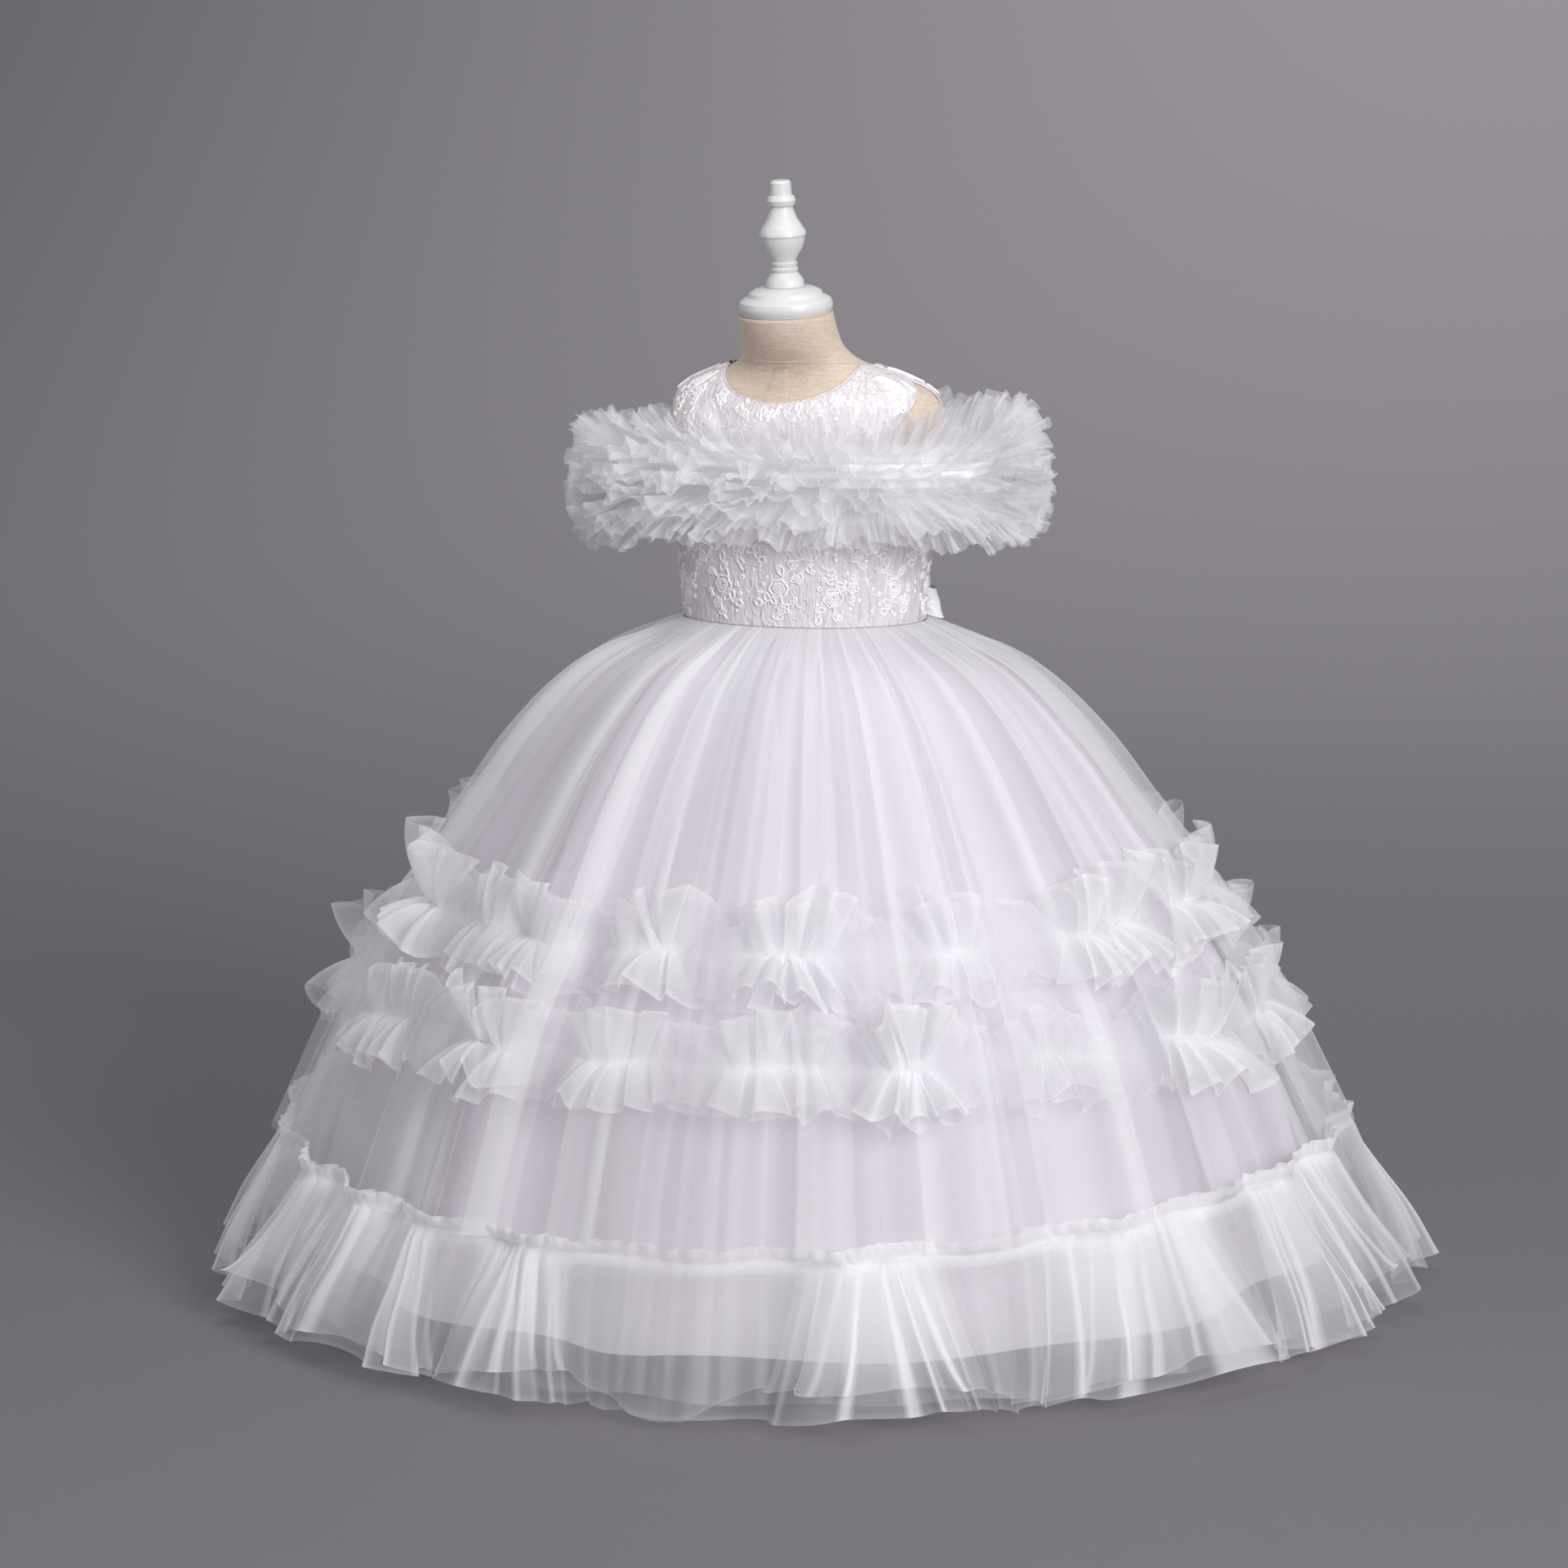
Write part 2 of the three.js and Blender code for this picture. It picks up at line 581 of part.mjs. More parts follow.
function addBand() {
  const step = (2 * Math.PI) / BAND_COLUMNS;
  const seam = BAND_SEAM_COLUMN * step;
  const pieces = [
    { name: "bertha_band_front", from: -seam, columns: 2 * BAND_SEAM_COLUMN },
    { name: "sleeve_band_left", from: seam, columns: BAND_COLUMNS / 2 - 2 * BAND_SEAM_COLUMN },
    { name: "bertha_band_back", from: Math.PI - seam, columns: 2 * BAND_SEAM_COLUMN },
    { name: "sleeve_band_right", from: Math.PI + seam, columns: BAND_COLUMNS / 2 - 2 * BAND_SEAM_COLUMN },
  ];
  const trim = SEAM_GAP / 2 / BAND_HALF_DEPTH;
  for (const { name, from, columns } of pieces) {
    const angles = range(from, from + columns * step, columns);
    angles[0] += trim;
    angles[columns] -= trim;
    const grid = [-BAND_HEIGHT / 2, BAND_HEIGHT / 2].map((height) => {
      return angles.map((angle) => bandPoint(angle, height, 0));
    });
    add(name, thicken(grid, -SATIN_WALL), SATIN);
  }
}

// One ruffle: it leaves the band at its root, stands at its rise, and waves across its own plane.
function addBandRuffle(name, { root, rise, length }, seed) {
  const slope = radians(rise);
  const reach = (angle) => length * (1 - FRONT_RUFFLE_CUT * frontShare(angle));
  const edge = (share, wave) => (angle) => {
    const along = SEAM_GAP + share * reach(angle);
    const across = wave * folds(angle, BAND_WAVES, seed);
    const out = along * Math.cos(slope) - across * Math.sin(slope);
    const height = root + along * Math.sin(slope) + across * Math.cos(slope);
    return bandPoint(angle, height, Math.max(out, SEAM_GAP));
  };
  const angles = range(0, 2 * Math.PI, BAND_COLUMNS).slice(0, -1);
  const grid = [edge(0, 0), edge(1, BAND_RUFFLE_WAVE)].map((ring) => angles.map(ring));
  add(name, thicken(grid, rise > 0 ? TULLE_WALL : -TULLE_WALL, true), TULLE);
}

function addBertha() {
  addBand();
  BAND_RUFFLES.forEach((ruffle, i) => addBandRuffle(`bertha_ruffle_${i + 1}`, ruffle, 1.3 * i));
}

// Bow at the back of the waist

function bowKnot() {
  const geometry = new THREE.SphereGeometry(1, 12, 8);
  const position = geometry.getAttribute("position");
  const soften = (x) => Math.sign(x) * Math.abs(x) ** 0.7;
  for (let i = 0; i < position.count; i += 1) {
    position.setXYZ(
      i,
      KNOT.halfWidth * soften(position.getX(i)),
      KNOT.y + KNOT.halfDepth * soften(position.getY(i)),
      KNOT.z + KNOT.halfHeight * soften(position.getZ(i)),
    );
  }
  return geometry;
}

// A loop of sash: a strip that leaves the knot, turns back at its tip, and widens as it goes out.
function bowLoop(side) {
  const start = KNOT.halfWidth + SEAM_GAP;
  const grid = range(0, 2 * Math.PI, 14).map((turn) => {
    const share = (1 - Math.cos(turn)) / 2;
    const x = start + LOOP.length * share;
    const apart = 4 * Math.cos(turn / 2) + LOOP.bulge * Math.sin(turn) * share;
    const height = THREE.MathUtils.lerp(LOOP.rootHeight, LOOP.tipHeight, Math.sqrt(share));
    const middle = KNOT.z - LOOP.droop * share * share;
    return [-0.5, 0, 0.5].map((t) => new THREE.Vector3(side * x, KNOT.y + 1 + apart, middle + t * height));
  });
  return thicken(grid, side * SATIN_WALL);
}

// A tail of sash, laid on the back of the skirt and spreading as it falls.
function bowTail(side) {
  const grid = TAIL_SECTIONS.map(({ z, lift, centre, width }) => {
    const halfWidth = columnAt(TULLE_SECTIONS, "halfWidth", z);
    const halfDepth = columnAt(TULLE_SECTIONS, "halfDepth", z);
    const centreY = columnAt(TULLE_SECTIONS, "centreY", z);
    return range(-0.5, 0.5, 4).map((t) => {
      const angle = (centre + t * width) / halfWidth;
      return new THREE.Vector3(
        side * (halfWidth + lift) * Math.sin(angle),
        centreY + (halfDepth + lift) * Math.cos(angle),
        z + lift,
      );
    });
  });
  return thicken(grid, -side * SATIN_WALL);
}

function addBow() {
  add("bow_knot", bowKnot(), SATIN);
  for (const [half, side] of [["left", 1], ["right", -1]]) {
    add(`bow_loop_${half}`, bowLoop(side), SATIN);
    add(`bow_tail_${half}`, bowTail(side), SATIN);
  }
}

addForm();
addBodice();
addSkirt();
addBertha();
addBow();

export default gown;
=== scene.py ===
"""A child's tulle ball gown on a dress form: the look of every piece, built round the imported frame.

All shapes are worked out in millimetres from the same section tables as the solids. An angle of 0
is centre front (-Y) and 90 degrees is the wearer's left (+X).
"""

import itertools
import math

import bmesh
import bpy
import numpy as np
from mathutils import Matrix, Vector


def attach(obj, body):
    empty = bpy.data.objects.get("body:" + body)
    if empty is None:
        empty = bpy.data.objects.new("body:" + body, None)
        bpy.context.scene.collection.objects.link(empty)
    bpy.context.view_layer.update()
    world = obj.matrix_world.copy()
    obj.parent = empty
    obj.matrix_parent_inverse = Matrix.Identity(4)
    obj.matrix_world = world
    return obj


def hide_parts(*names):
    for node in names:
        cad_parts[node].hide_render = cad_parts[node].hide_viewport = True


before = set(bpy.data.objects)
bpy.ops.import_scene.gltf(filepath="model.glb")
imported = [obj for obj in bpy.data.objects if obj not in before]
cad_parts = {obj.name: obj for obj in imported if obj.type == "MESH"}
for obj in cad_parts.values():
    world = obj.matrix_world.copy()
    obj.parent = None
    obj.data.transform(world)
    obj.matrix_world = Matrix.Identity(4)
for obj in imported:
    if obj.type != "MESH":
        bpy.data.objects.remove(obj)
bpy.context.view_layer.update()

bl_info = {
    "name": "Tulle ball gown",
    "version": (1, 0, 0),
    "blender": (4, 5, 0),
    "location": "View3D > Sidebar > Gown",
    "description": "Builds a child's tulle ball gown on a dress form, piece by piece",
    "category": "Add Mesh",
}

MM = 0.001

# Section tables in mm: z, half width, half depth, centre y.
TORSO = np.array([
    (386, 88, 68, 4), (390, 98, 78, 4), (402, 105, 85, 5), (440, 109, 88, 6), (500, 105, 85, 3),
    (561, 102, 82, 0), (600, 105, 84, 0), (640, 108.5, 85.5, 0), (680, 112, 84.5, 0),
    (705, 115.5, 80.5, 1), (722, 118.5, 74, 2), (736, 118, 66, 3), (746, 112, 59, 3),
    (753, 102, 53.5, 3), (759, 88, 49.5, 2), (764, 74, 47, 0), (769, 60, 45, -4),
    (775, 49, 43, -11), (785, 42.5, 40.5, -23), (798, 40, 39.5, -31), (812, 38.5, 38.5, -36),
], float)

# Skirt layers: z, half width, half depth, centre y, fold height, rise in front.
TULLE = np.array([
    (560.7, 105.5, 85.5, 0, 0, 0), (548, 134, 118, 1, 3, 0), (518, 188, 174, 3, 5, 0),
    (464, 242, 231, 8, 7, 0), (410, 281, 273, 12, 8, 0), (342, 330, 325, 16, 8, -10),
    (253, 386, 382, 19, 9, 5), (140, 444, 441, 19, 9, -21),
], float)
LINING = np.array([
    (559, 103.3, 83.3, 0, 0, 0), (548, 121, 104, 1, 1, 0), (518, 168, 154, 3, 3, 0),
    (464, 214, 203, 8, 5, 0), (342, 298, 292, 16, 8, 0), (200, 372, 369, 20, 10, 0),
    (36, 419, 417, 26, 11, 0),
], float)
UNDER_NET = np.array([
    (560, 104.6, 84.6, 0, 0, 0), (548, 127, 111, 1, 2, 0), (518, 177, 163, 3, 4, 0),
    (464, 227, 216, 8, 5, 0), (342, 313, 307, 16, 7, 0), (200, 391, 388, 20, 8, 0),
    (90, 436, 434, 24, 9, 0), (15, 463, 461, 27, 9, 0),
], float)
# Flounce below its stitch line: half width, centre y, height of the large folds.
FLOUNCE = np.array([(444, 19, 9), (468, 21, 6), (491, 25, 8), (505, 28, 9)], float)

FINIAL = [
    (0, 15.6), (4.6, 15.6), (7.4, 14), (12, 10.6), (13, 11.4), (14.8, 11.6), (16.3, 10), (17.6, 11),
    (19.4, 11.2), (20.9, 9.6), (25, 11.8), (30.5, 15.6), (37, 17.6), (40.7, 17.9), (41.6, 19),
    (44.4, 19), (48.1, 16.6), (55.5, 12.2), (64.8, 9), (66.1, 10.8), (69.8, 11.9), (73.1, 10.6),
    (74, 8.9), (84.2, 8.5), (86, 7),
]
CAP = [
    (0, 35.5), (3, 38), (7, 38.6), (11, 37.4), (13.5, 34), (14.5, 31), (18, 29.5), (21, 24), (22, 18),
]
POLE = [(16.3, 20), (34.3, 20), (38.3, 11), (385.7, 11)]
BASE = [(0, 130), (11, 130), (14.5, 128), (16, 123)]
NECK_TILT = 6.0  # degrees that the neck's top plane leans forward
NECK_TOP = (-36, 812)  # y and z of the neck's top

# The bodice: its seams' heights, and for front and back the neckline's lowest height and the depth
# of the armhole in degrees.
WAIST_Z, UNDERARM_Z, SHOULDER_Z, NECK_POINT_Z = 561, 676, 757, 768
NECK_HALF_WIDTH, ZIP_HALF_WIDTH = 58, 3
FRONT_EDGES, BACK_EDGES = (740, 34), (757, 26)

# Count of the large folds round each layer and where they start, as the solids have them.
SKIRT_FOLDS, LINING_FOLDS, FLOUNCE_FOLDS = (24, 1.0), (12, 0.4), (26, 2)
HEM_Z, HEADING = 12.0, 12.0  # the flounce's lower edge and the height of its heading

# Ruffles of the off-shoulder band: the node's number, height of the root above the band's middle,
# rise in degrees and length. Each row of the dress has two or three layers.
RUFFLES = [
    (1, 29, 68, 40), (1, 23, 52, 41), (1, 17, 38, 40), (2, 11, 24, 40), (2, 5, 10, 41),
    (3, -2, -4, 40), (3, -8, -18, 41), (3, -14, -31, 40), (4, -20, -44, 38), (4, -26, -56, 34),
]
BAND = {"half_width": 172.0, "half_depth": 90.5, "z": 679.0, "height": 64.0, "drop": 14.0}

# Bow tails on the back of the skirt: z, lift, centre, width.
TAIL = np.array([
    (559.6, 1.7, 9, 13), (552, 4, 13, 22), (542, 6, 18, 32), (518, 9, 28, 44), (464, 11, 46, 54),
    (400, 12, 62, 58),
], float)
KNOT = {"y": 94.5, "z": 577.5, "half": (13, 8.5, 15.5)}
LOOP = {"reach": 70.3, "root": 22.0, "tip": 25.0, "bulge": 13.0, "droop": 13.0}


# Numbers and curves


def srgb(code):
    """A colour such as #f4f3f7 as linear red, green, blue and 1."""
    parts = [int(code[i : i + 2], 16) / 255 for i in (1, 3, 5)]
    return [c / 12.92 if c <= 0.04045 else ((c + 0.055) / 1.055) ** 2.4 for c in parts] + [1.0]


def smoothstep(x, low, high):
    """0 below low, 1 above high, and an even S between them."""
    t = np.clip((x - low) / (high - low), 0, 1)
    return t * t * (3 - 2 * t)


def through(table, x):
    """Cubic curve through a table's rows at x in its first column, as the solids have it.

    Each slope is the rise between a row's two neighbours over their distance (Catmull-Rom)."""
    xs = table[:, 0]
    order = 1 if xs[-1] > xs[0] else -1
    i = np.clip(np.searchsorted(order * xs, order * np.asarray(x)) - 1, 0, len(xs) - 2)
    before, after = np.maximum(i - 1, 0), np.minimum(i + 2, len(xs) - 1)
    span = (xs[i + 1] - xs[i])[..., None]
    t = np.clip((np.asarray(x) - xs[i])[..., None] / span, 0, 1)
    slope_a = (table[i + 1] - table[before]) / (xs[i + 1] - xs[before])[..., None] * span
    slope_b = (table[after] - table[i]) / (xs[after] - xs[i])[..., None] * span
    return (
        (2 * t**3 - 3 * t**2 + 1) * table[i]
        + (t**3 - 2 * t**2 + t) * slope_a
        + (3 * t**2 - 2 * t**3) * table[i + 1]
        + (t**3 - t**2) * slope_b
    )


def along(table, share):
    """Rows at even shares of the length of the curve through a table, by its row numbers."""
    numbered = np.column_stack([np.arange(len(table)), table])
    fine = through(numbered, np.linspace(0, len(table) - 1, 600))[:, 1:]
    steps = np.hypot(np.diff(fine[:, 0]), np.diff(fine[:, 1]))
    length = np.concatenate([[0], np.cumsum(steps)]) / steps.sum()
    return np.stack([np.interp(share, length, column) for column in fine.T], -1)


def folds(angle, count, seed):
    """Uneven folds round a ring, from -1 to 1, with the solids' own formula."""
    shift = 0.8 * np.sin(3 * angle + seed) + 0.45 * np.sin(7 * angle + 1.7 * seed)
    size = 0.78 + 0.22 * np.sin(5 * angle + 2.3 * seed)
    return size * np.sin(count * angle + shift + seed)


def drift(angle, seed, low=2, high=11):
    """A smooth uneven line round a ring, about -1 to 1: five sines of whole random counts."""
    rng = np.random.default_rng(seed)
    counts, starts = rng.integers(low, high, 5), rng.uniform(0, 2 * np.pi, 5)
    return sum(np.sin(k * angle + s) for k, s in zip(counts, starts)) / 2.4


def pleats(angle, count, seed, sharp=0.5, wander=2.4):
    """Uneven gathers round a ring, -1 to 1: a sine mixed with a pointed wave by sharp."""
    phase = count * angle + wander * (drift(angle, seed) + 0.5 * drift(angle, seed + 50, 9, 31))
    wave = np.sin(phase)
    return (1 - sharp) * wave + sharp * np.arcsin(0.98 * wave) / 1.37


def front(angle):
    """1 at centre front, falling to 0 at the sides."""
    return np.maximum(0, np.cos(angle)) ** 1.5


# Meshes


def new_object(name, verts, faces, smooth=True):
    """A mesh object from points in mm and an array of quads or triangles."""
    mesh = bpy.data.meshes.new(name)
    verts, faces = np.asarray(verts, float).reshape(-1, 3), np.asarray(faces, np.int32)
    mesh.vertices.add(len(verts))
    mesh.vertices.foreach_set("co", (verts * MM).ravel())
    mesh.loops.add(faces.size)
    mesh.loops.foreach_set("vertex_index", faces.ravel())
    mesh.polygons.add(len(faces))
    mesh.polygons.foreach_set("loop_start", np.arange(0, faces.size, faces.shape[1], dtype=np.int32))
    mesh.polygons.foreach_set("use_smooth", np.full(len(faces), smooth))
    mesh.update(calc_edges=True)
    mesh.validate()
    obj = bpy.data.objects.new(name, mesh)
    bpy.context.collection.objects.link(obj)
    return obj


def grid_faces(rows, cols, wrap=False, start=0):
    """Quads of a grid of points, row after row. wrap joins the last column to the first."""
    index = np.arange(rows * cols).reshape(rows, cols) + start
    index = np.hstack([index, index[:, :1]]) if wrap else index
    a, b, c, d = index[:-1, :-1], index[:-1, 1:], index[1:, 1:], index[1:, :-1]
    return np.stack([a, b, c, d], -1).reshape(-1, 4)


def grid_object(name, points, wrap=False, cover=None, flip=False):
    """A sheet from a grid of points, with a UV map in metres and its cover as an attribute.

    Cover is the share of each spot that threads fill: low on flat net, 1 on a tight stitch line."""
    rows, cols = points.shape[:2]
    faces = grid_faces(rows, cols, wrap)
    obj = new_object(name, points, faces[:, ::-1] if flip else faces)
    mesh = obj.data
    across = np.linalg.norm(np.diff(points[rows // 2], axis=0), axis=1).sum() * MM
    down = np.linalg.norm(np.diff(points[:, 0], axis=0), axis=1).sum() * MM
    u, v = np.meshgrid(np.linspace(0, across, cols), np.linspace(0, down, rows))
    uv = np.stack([u, v], -1).reshape(-1, 2)
    loops = np.empty(len(mesh.loops), np.int32)
    mesh.loops.foreach_get("vertex_index", loops)
    mesh.uv_layers.new(name="UVMap").data.foreach_set("uv", uv[loops].ravel())
    if cover is not None:
        values = np.broadcast_to(np.clip(cover, 0, 1), (rows, cols)).astype(np.float32).ravel()
        mesh.attributes.new("cover", "FLOAT", "POINT").data.foreach_set("value", values)
    return obj


def turned(name, profile, tilt, centre, sides=96):
    """A turned solid from heights and radii, leaning forward by tilt degrees about its foot."""
    outline = np.array([(profile[0][0], 0)] + list(profile) + [(profile[-1][0], 0)], float)
    angle = np.linspace(0, 2 * np.pi, sides, endpoint=False)
    radius, height = outline[:, 1:2], outline[:, 0:1]
    x, y, z = radius * np.sin(angle), -radius * np.cos(angle), height + 0 * angle
    lean = math.radians(tilt)
    points = np.stack([
        x + centre[0],
        centre[1] + y * math.cos(lean) - z * math.sin(lean),
        centre[2] + y * math.sin(lean) + z * math.cos(lean),
    ], -1)
    obj = new_object(name, points, grid_faces(len(outline), sides, True))
    weld(obj)
    obj.data.set_sharp_from_angle(angle=math.radians(34))
    return obj


def weld(obj):
    """Joins points that coincide, so that shading runs on over a seam."""
    bm = bmesh.new()
    bm.from_mesh(obj.data)
    bmesh.ops.remove_doubles(bm, verts=bm.verts, dist=2e-5)
    bm.to_mesh(obj.data)
    bm.free()


def tube(name, path, radius, sides=8, closed=False):
    """A round cord along a path of points in mm."""
    path = np.asarray(path, float)
    if closed:
        tangent = np.roll(path, -1, 0) - np.roll(path, 1, 0)
    else:
        tangent = np.gradient(path, axis=0)
    tangent /= np.linalg.norm(tangent, axis=1)[:, None]
    side = np.cross(tangent, (0.12, 0.2, 0.97))
    side /= np.linalg.norm(side, axis=1)[:, None]
    up = np.cross(side, tangent)
    turn = np.linspace(0, 2 * np.pi, sides, endpoint=False)
    ring = side[:, None] * np.cos(turn)[:, None] + up[:, None] * np.sin(turn)[:, None]
    points = path[:, None] + radius * ring
    if closed:
        points = np.concatenate([points, points[:1]])
    return grid_object(name, points, wrap=True, flip=True)


# Surfaces of the body and the skirt


def around(angle, across, depth, centre, z, spread=0.0):
    """Points round an ellipse: across times sine, centre less depth times cosine, and height z, each
    moved along the ring by spread."""
    sin, cos = np.sin(angle), np.cos(angle)
    return np.stack(np.broadcast_arrays(
        across * sin + spread * cos, centre - depth * cos + spread * sin, z,
    ), -1)


def torso(angle, z, out=0.0):
    """The form: an ellipse at each height, its neck leaning forward, moved out along its normal."""
    angle, z = np.broadcast_arrays(np.asarray(angle, float), np.asarray(z, float))

    def flat(angle, z):
        row = through(TORSO, z)
        lean = math.radians(NECK_TILT) * smoothstep(z, 772, 812)
        nod = -row[..., 2] * np.cos(angle) * np.tan(lean)
        return around(angle, row[..., 1], row[..., 2], row[..., 3], z + nod)

    step = 1e-3
    across = flat(angle + step, z) - flat(angle - step, z)
    up = flat(angle, z + step) - flat(angle, z - step)
    normal = np.cross(across, up)
    normal /= np.linalg.norm(normal, axis=-1, keepdims=True)
    return flat(angle, z) + normal * np.asarray(out)[..., None]


def bodice_out(z):
    """How far the bodice's outer face stands off the form at a height."""
    return 2.6 + 0.9 * smoothstep(z, 631, 701)


def armhole(z, depth):
    """Angle of the armhole's edge from centre front, or from centre back."""
    share = np.clip((z - UNDERARM_Z) / (SHOULDER_Z - UNDERARM_Z), 0, 1)
    return np.pi / 2 - np.maximum(0.004, math.radians(depth) * np.sin(np.pi * share) ** 0.7)


def neckline(z, lowest):
    """Angle of the neckline's edge from centre front, or from centre back. It is 0 below it."""
    drop = np.clip((NECK_POINT_Z - z) / (NECK_POINT_Z - lowest), 0, 1)
    half = NECK_HALF_WIDTH * np.sqrt(1 - drop**2)
    return np.arcsin(np.minimum(0.93, half / through(TORSO, z)[..., 1]))


def ring_point(angle, rows, off=0.0, large=SKIRT_FOLDS):
    """Points of a skirt layer: an ellipse with large folds, moved off along the profile's normal."""
    z, a, b, cy, fold, rise = (rows[:, None, i] for i in range(6))
    shape = fold * folds(angle, *large)
    slope = np.gradient(rows[:, :2], axis=0)
    slope /= np.linalg.norm(slope, axis=1)[:, None]
    out, up = shape - slope[:, None, 0] * off, slope[:, None, 1] * off
    return around(angle, a + out, b + out, cy, z + rise * front(angle) + up)


def angles(columns):
    """Even angles round a ring, from centre back over the wearer's right."""
    return np.linspace(-np.pi, np.pi, columns, endpoint=False)


# Materials


def node(tree, kind, links=None, **settings):
    """Adds a node with its settings, and links or sets its inputs by name or number."""
    made = tree.nodes.new(kind)
    for key, value in settings.items():
        setattr(made, key, value)
    for key, value in (links or {}).items():
        if isinstance(value, bpy.types.NodeSocket):
            tree.links.new(value, made.inputs[key])
        else:
            made.inputs[key].default_value = value
    return made


def material(name, code, roughness, **inputs):
    """A Principled material of one colour. Returns the material, its tree and its shader node."""
    made = bpy.data.materials.new(name)
    made.use_nodes = True
    tree = made.node_tree
    shader = tree.nodes["Principled BSDF"]
    shader.inputs["Base Color"].default_value = srgb(code) if isinstance(code, str) else (*code, 1)
    shader.inputs["Roughness"].default_value = roughness
    for key, value in inputs.items():
        shader.inputs[key.replace("_", " ")].default_value = value
    return made, tree, shader


def bumped(tree, shader, height, strength, distance):
    """Feeds a height into the shader's normal."""
    bump = node(tree, "ShaderNodeBump", {"Strength": strength, "Distance": distance, "Height": height})
    tree.links.new(bump.outputs["Normal"], shader.inputs["Normal"])


def noise(tree, stretch, scale, detail=2.0, distortion=0.0):
    """Noise in Object coordinates, scale spots to a metre, drawn out along an axis by a low stretch."""
    place = node(tree, "ShaderNodeTexCoord").outputs["Object"]
    space = node(tree, "ShaderNodeMapping", {"Vector": place, "Scale": stretch})
    details = {"Scale": scale, "Detail": detail, "Distortion": distortion}
    made = node(tree, "ShaderNodeTexNoise", {"Vector": space.outputs["Vector"], **details})
    return made.outputs["Fac"]


def tulle_material(name, colour):
    """Nylon tulle, a fine woven net: sheer where it lies flat and close to opaque where it is drawn
    together, because more threads then cover each spot. Light from behind glows through it."""
    made, tree, shader = material(name, colour, 0.7, Specular_IOR_Level=0.0)
    cover = node(tree, "ShaderNodeAttribute", attribute_name="cover")
    glow = node(tree, "ShaderNodeBsdfTranslucent", {"Color": (*colour, 1)})
    thread = node(tree, "ShaderNodeMixShader", {0: 0.5, 1: shader.outputs[0], 2: glow.outputs[0]})
    gap = node(tree, "ShaderNodeBsdfTransparent")
    net = node(
        tree, "ShaderNodeMixShader",
        {0: cover.outputs["Fac"], 1: gap.outputs[0], 2: thread.outputs[0]},
    )
    tree.links.new(net.outputs[0], tree.nodes["Material Output"].inputs["Surface"])
    return made


def satin_material(name, colour, roughness=0.42, crinkle=0.0):
    """Polyester satin, woven with long floats: a soft gloss. crinkle gives it a fine crushed grain."""
    made, tree, shader = material(name, colour, roughness, Sheen_Weight=0.2)
    fine, broad = ((1.0, 1.0, 0.35), 230.0, 4.0, 1.2), ((1.0, 1.0, 1.0), 9.0)  # 4 mm and 110 mm
    bumped(tree, shader, noise(tree, *(fine if crinkle else broad)), crinkle or 0.15, 0.003)
    return made


def linen_material(name):
    """Natural linen, plain weave, stretched over the form: matt, with slubs of about 1 mm along both
    thread directions."""
    made, tree, shader = material(name, "#d6c7b8", 0.9, Sheen_Weight=0.15)
    warp, weft = noise(tree, (1.0, 1.0, 0.08), 900.0), noise(tree, (0.1, 0.1, 1.0), 900.0)
    both = node(tree, "ShaderNodeMath", {0: warp, 1: weft}, operation="ADD").outputs["Value"]
    tone = node(tree, "ShaderNodeMapRange", {"Value": both, "From Min": 0.7, "From Max": 1.3})
    colour = node(
        tree, "ShaderNodeMix",
        {"Factor": tone.outputs["Result"], 6: srgb("#bda997"), 7: srgb("#d3c2b4")},
        data_type="RGBA",
    )
    tree.links.new(colour.outputs[2], shader.inputs["Base Color"])
    bumped(tree, shader, both, 0.35, 0.0006)
    return made


def painted_wood_material(name):
    """Turned wood under white satin paint: even, with a soft gloss and a trace of brush marks."""
    made, tree, shader = material(name, "#d4d3d3", 0.38)
    bumped(tree, shader, noise(tree, (0.25, 0.25, 1.0), 260.0), 0.12, 0.0005)
    return made


def dress(obj, made, slot, *nodes):
    """Gives a piece its material, lets it ride on the row's one body, and hides the solids that it
    stands in for. slot is not used.
    """
    obj.data.materials.clear()
    obj.data.materials.append(made)
    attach(obj, "root")
    if nodes:
        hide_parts(*nodes)
    return obj


def named(name, make, *details):
    """The material of that name, made when it is first asked for."""
    return bpy.data.materials.get(name) or make(name, *details)


# Settings


class GownSettings(bpy.types.PropertyGroup):
    """Sizes and colours of the gown that a user may change."""

    tulle_colour: bpy.props.FloatVectorProperty(
        name="Tulle", description="Colour of the tulle", subtype="COLOR", size=3, min=0, max=1,
        default=srgb("#fdfcff")[:3],
    )
    lining_colour: bpy.props.FloatVectorProperty(
        name="Lining", description="Colour of the satin lining", subtype="COLOR", size=3,
        min=0, max=1,
        default=srgb("#bdb6bf")[:3],
    )
    bodice_colour: bpy.props.FloatVectorProperty(
        name="Bodice", description="Colour of the bodice's satin", subtype="COLOR", size=3, min=0, max=1,
        default=srgb("#dcd6da")[:3],
    )
    tulle_cover: bpy.props.FloatProperty(
        name="Tulle cover", description="Share of a flat spot of tulle that its threads fill",
        subtype="FACTOR", default=0.18, min=0.05, max=0.95,
    )
    skirt_pleats: bpy.props.IntProperty(
        name="Skirt gathers", description="Fine gathers round the skirt", default=88, min=24, max=160,
    )
    pleat_height: bpy.props.FloatProperty(
        name="Gather height", description="Height of the skirt's fine gathers",
        subtype="DISTANCE", unit="LENGTH", default=0.006, min=0.0, max=0.02,
    )
    frill_waves: bpy.props.IntProperty(
        name="Frill gathers", description="Gathers along each skirt frill", default=110, min=24, max=200,
    )
    ruffle_waves: bpy.props.IntProperty(
        name="Ruffle gathers", description="Gathers along each ruffle of the band", default=104, min=18,
        max=200,
    )


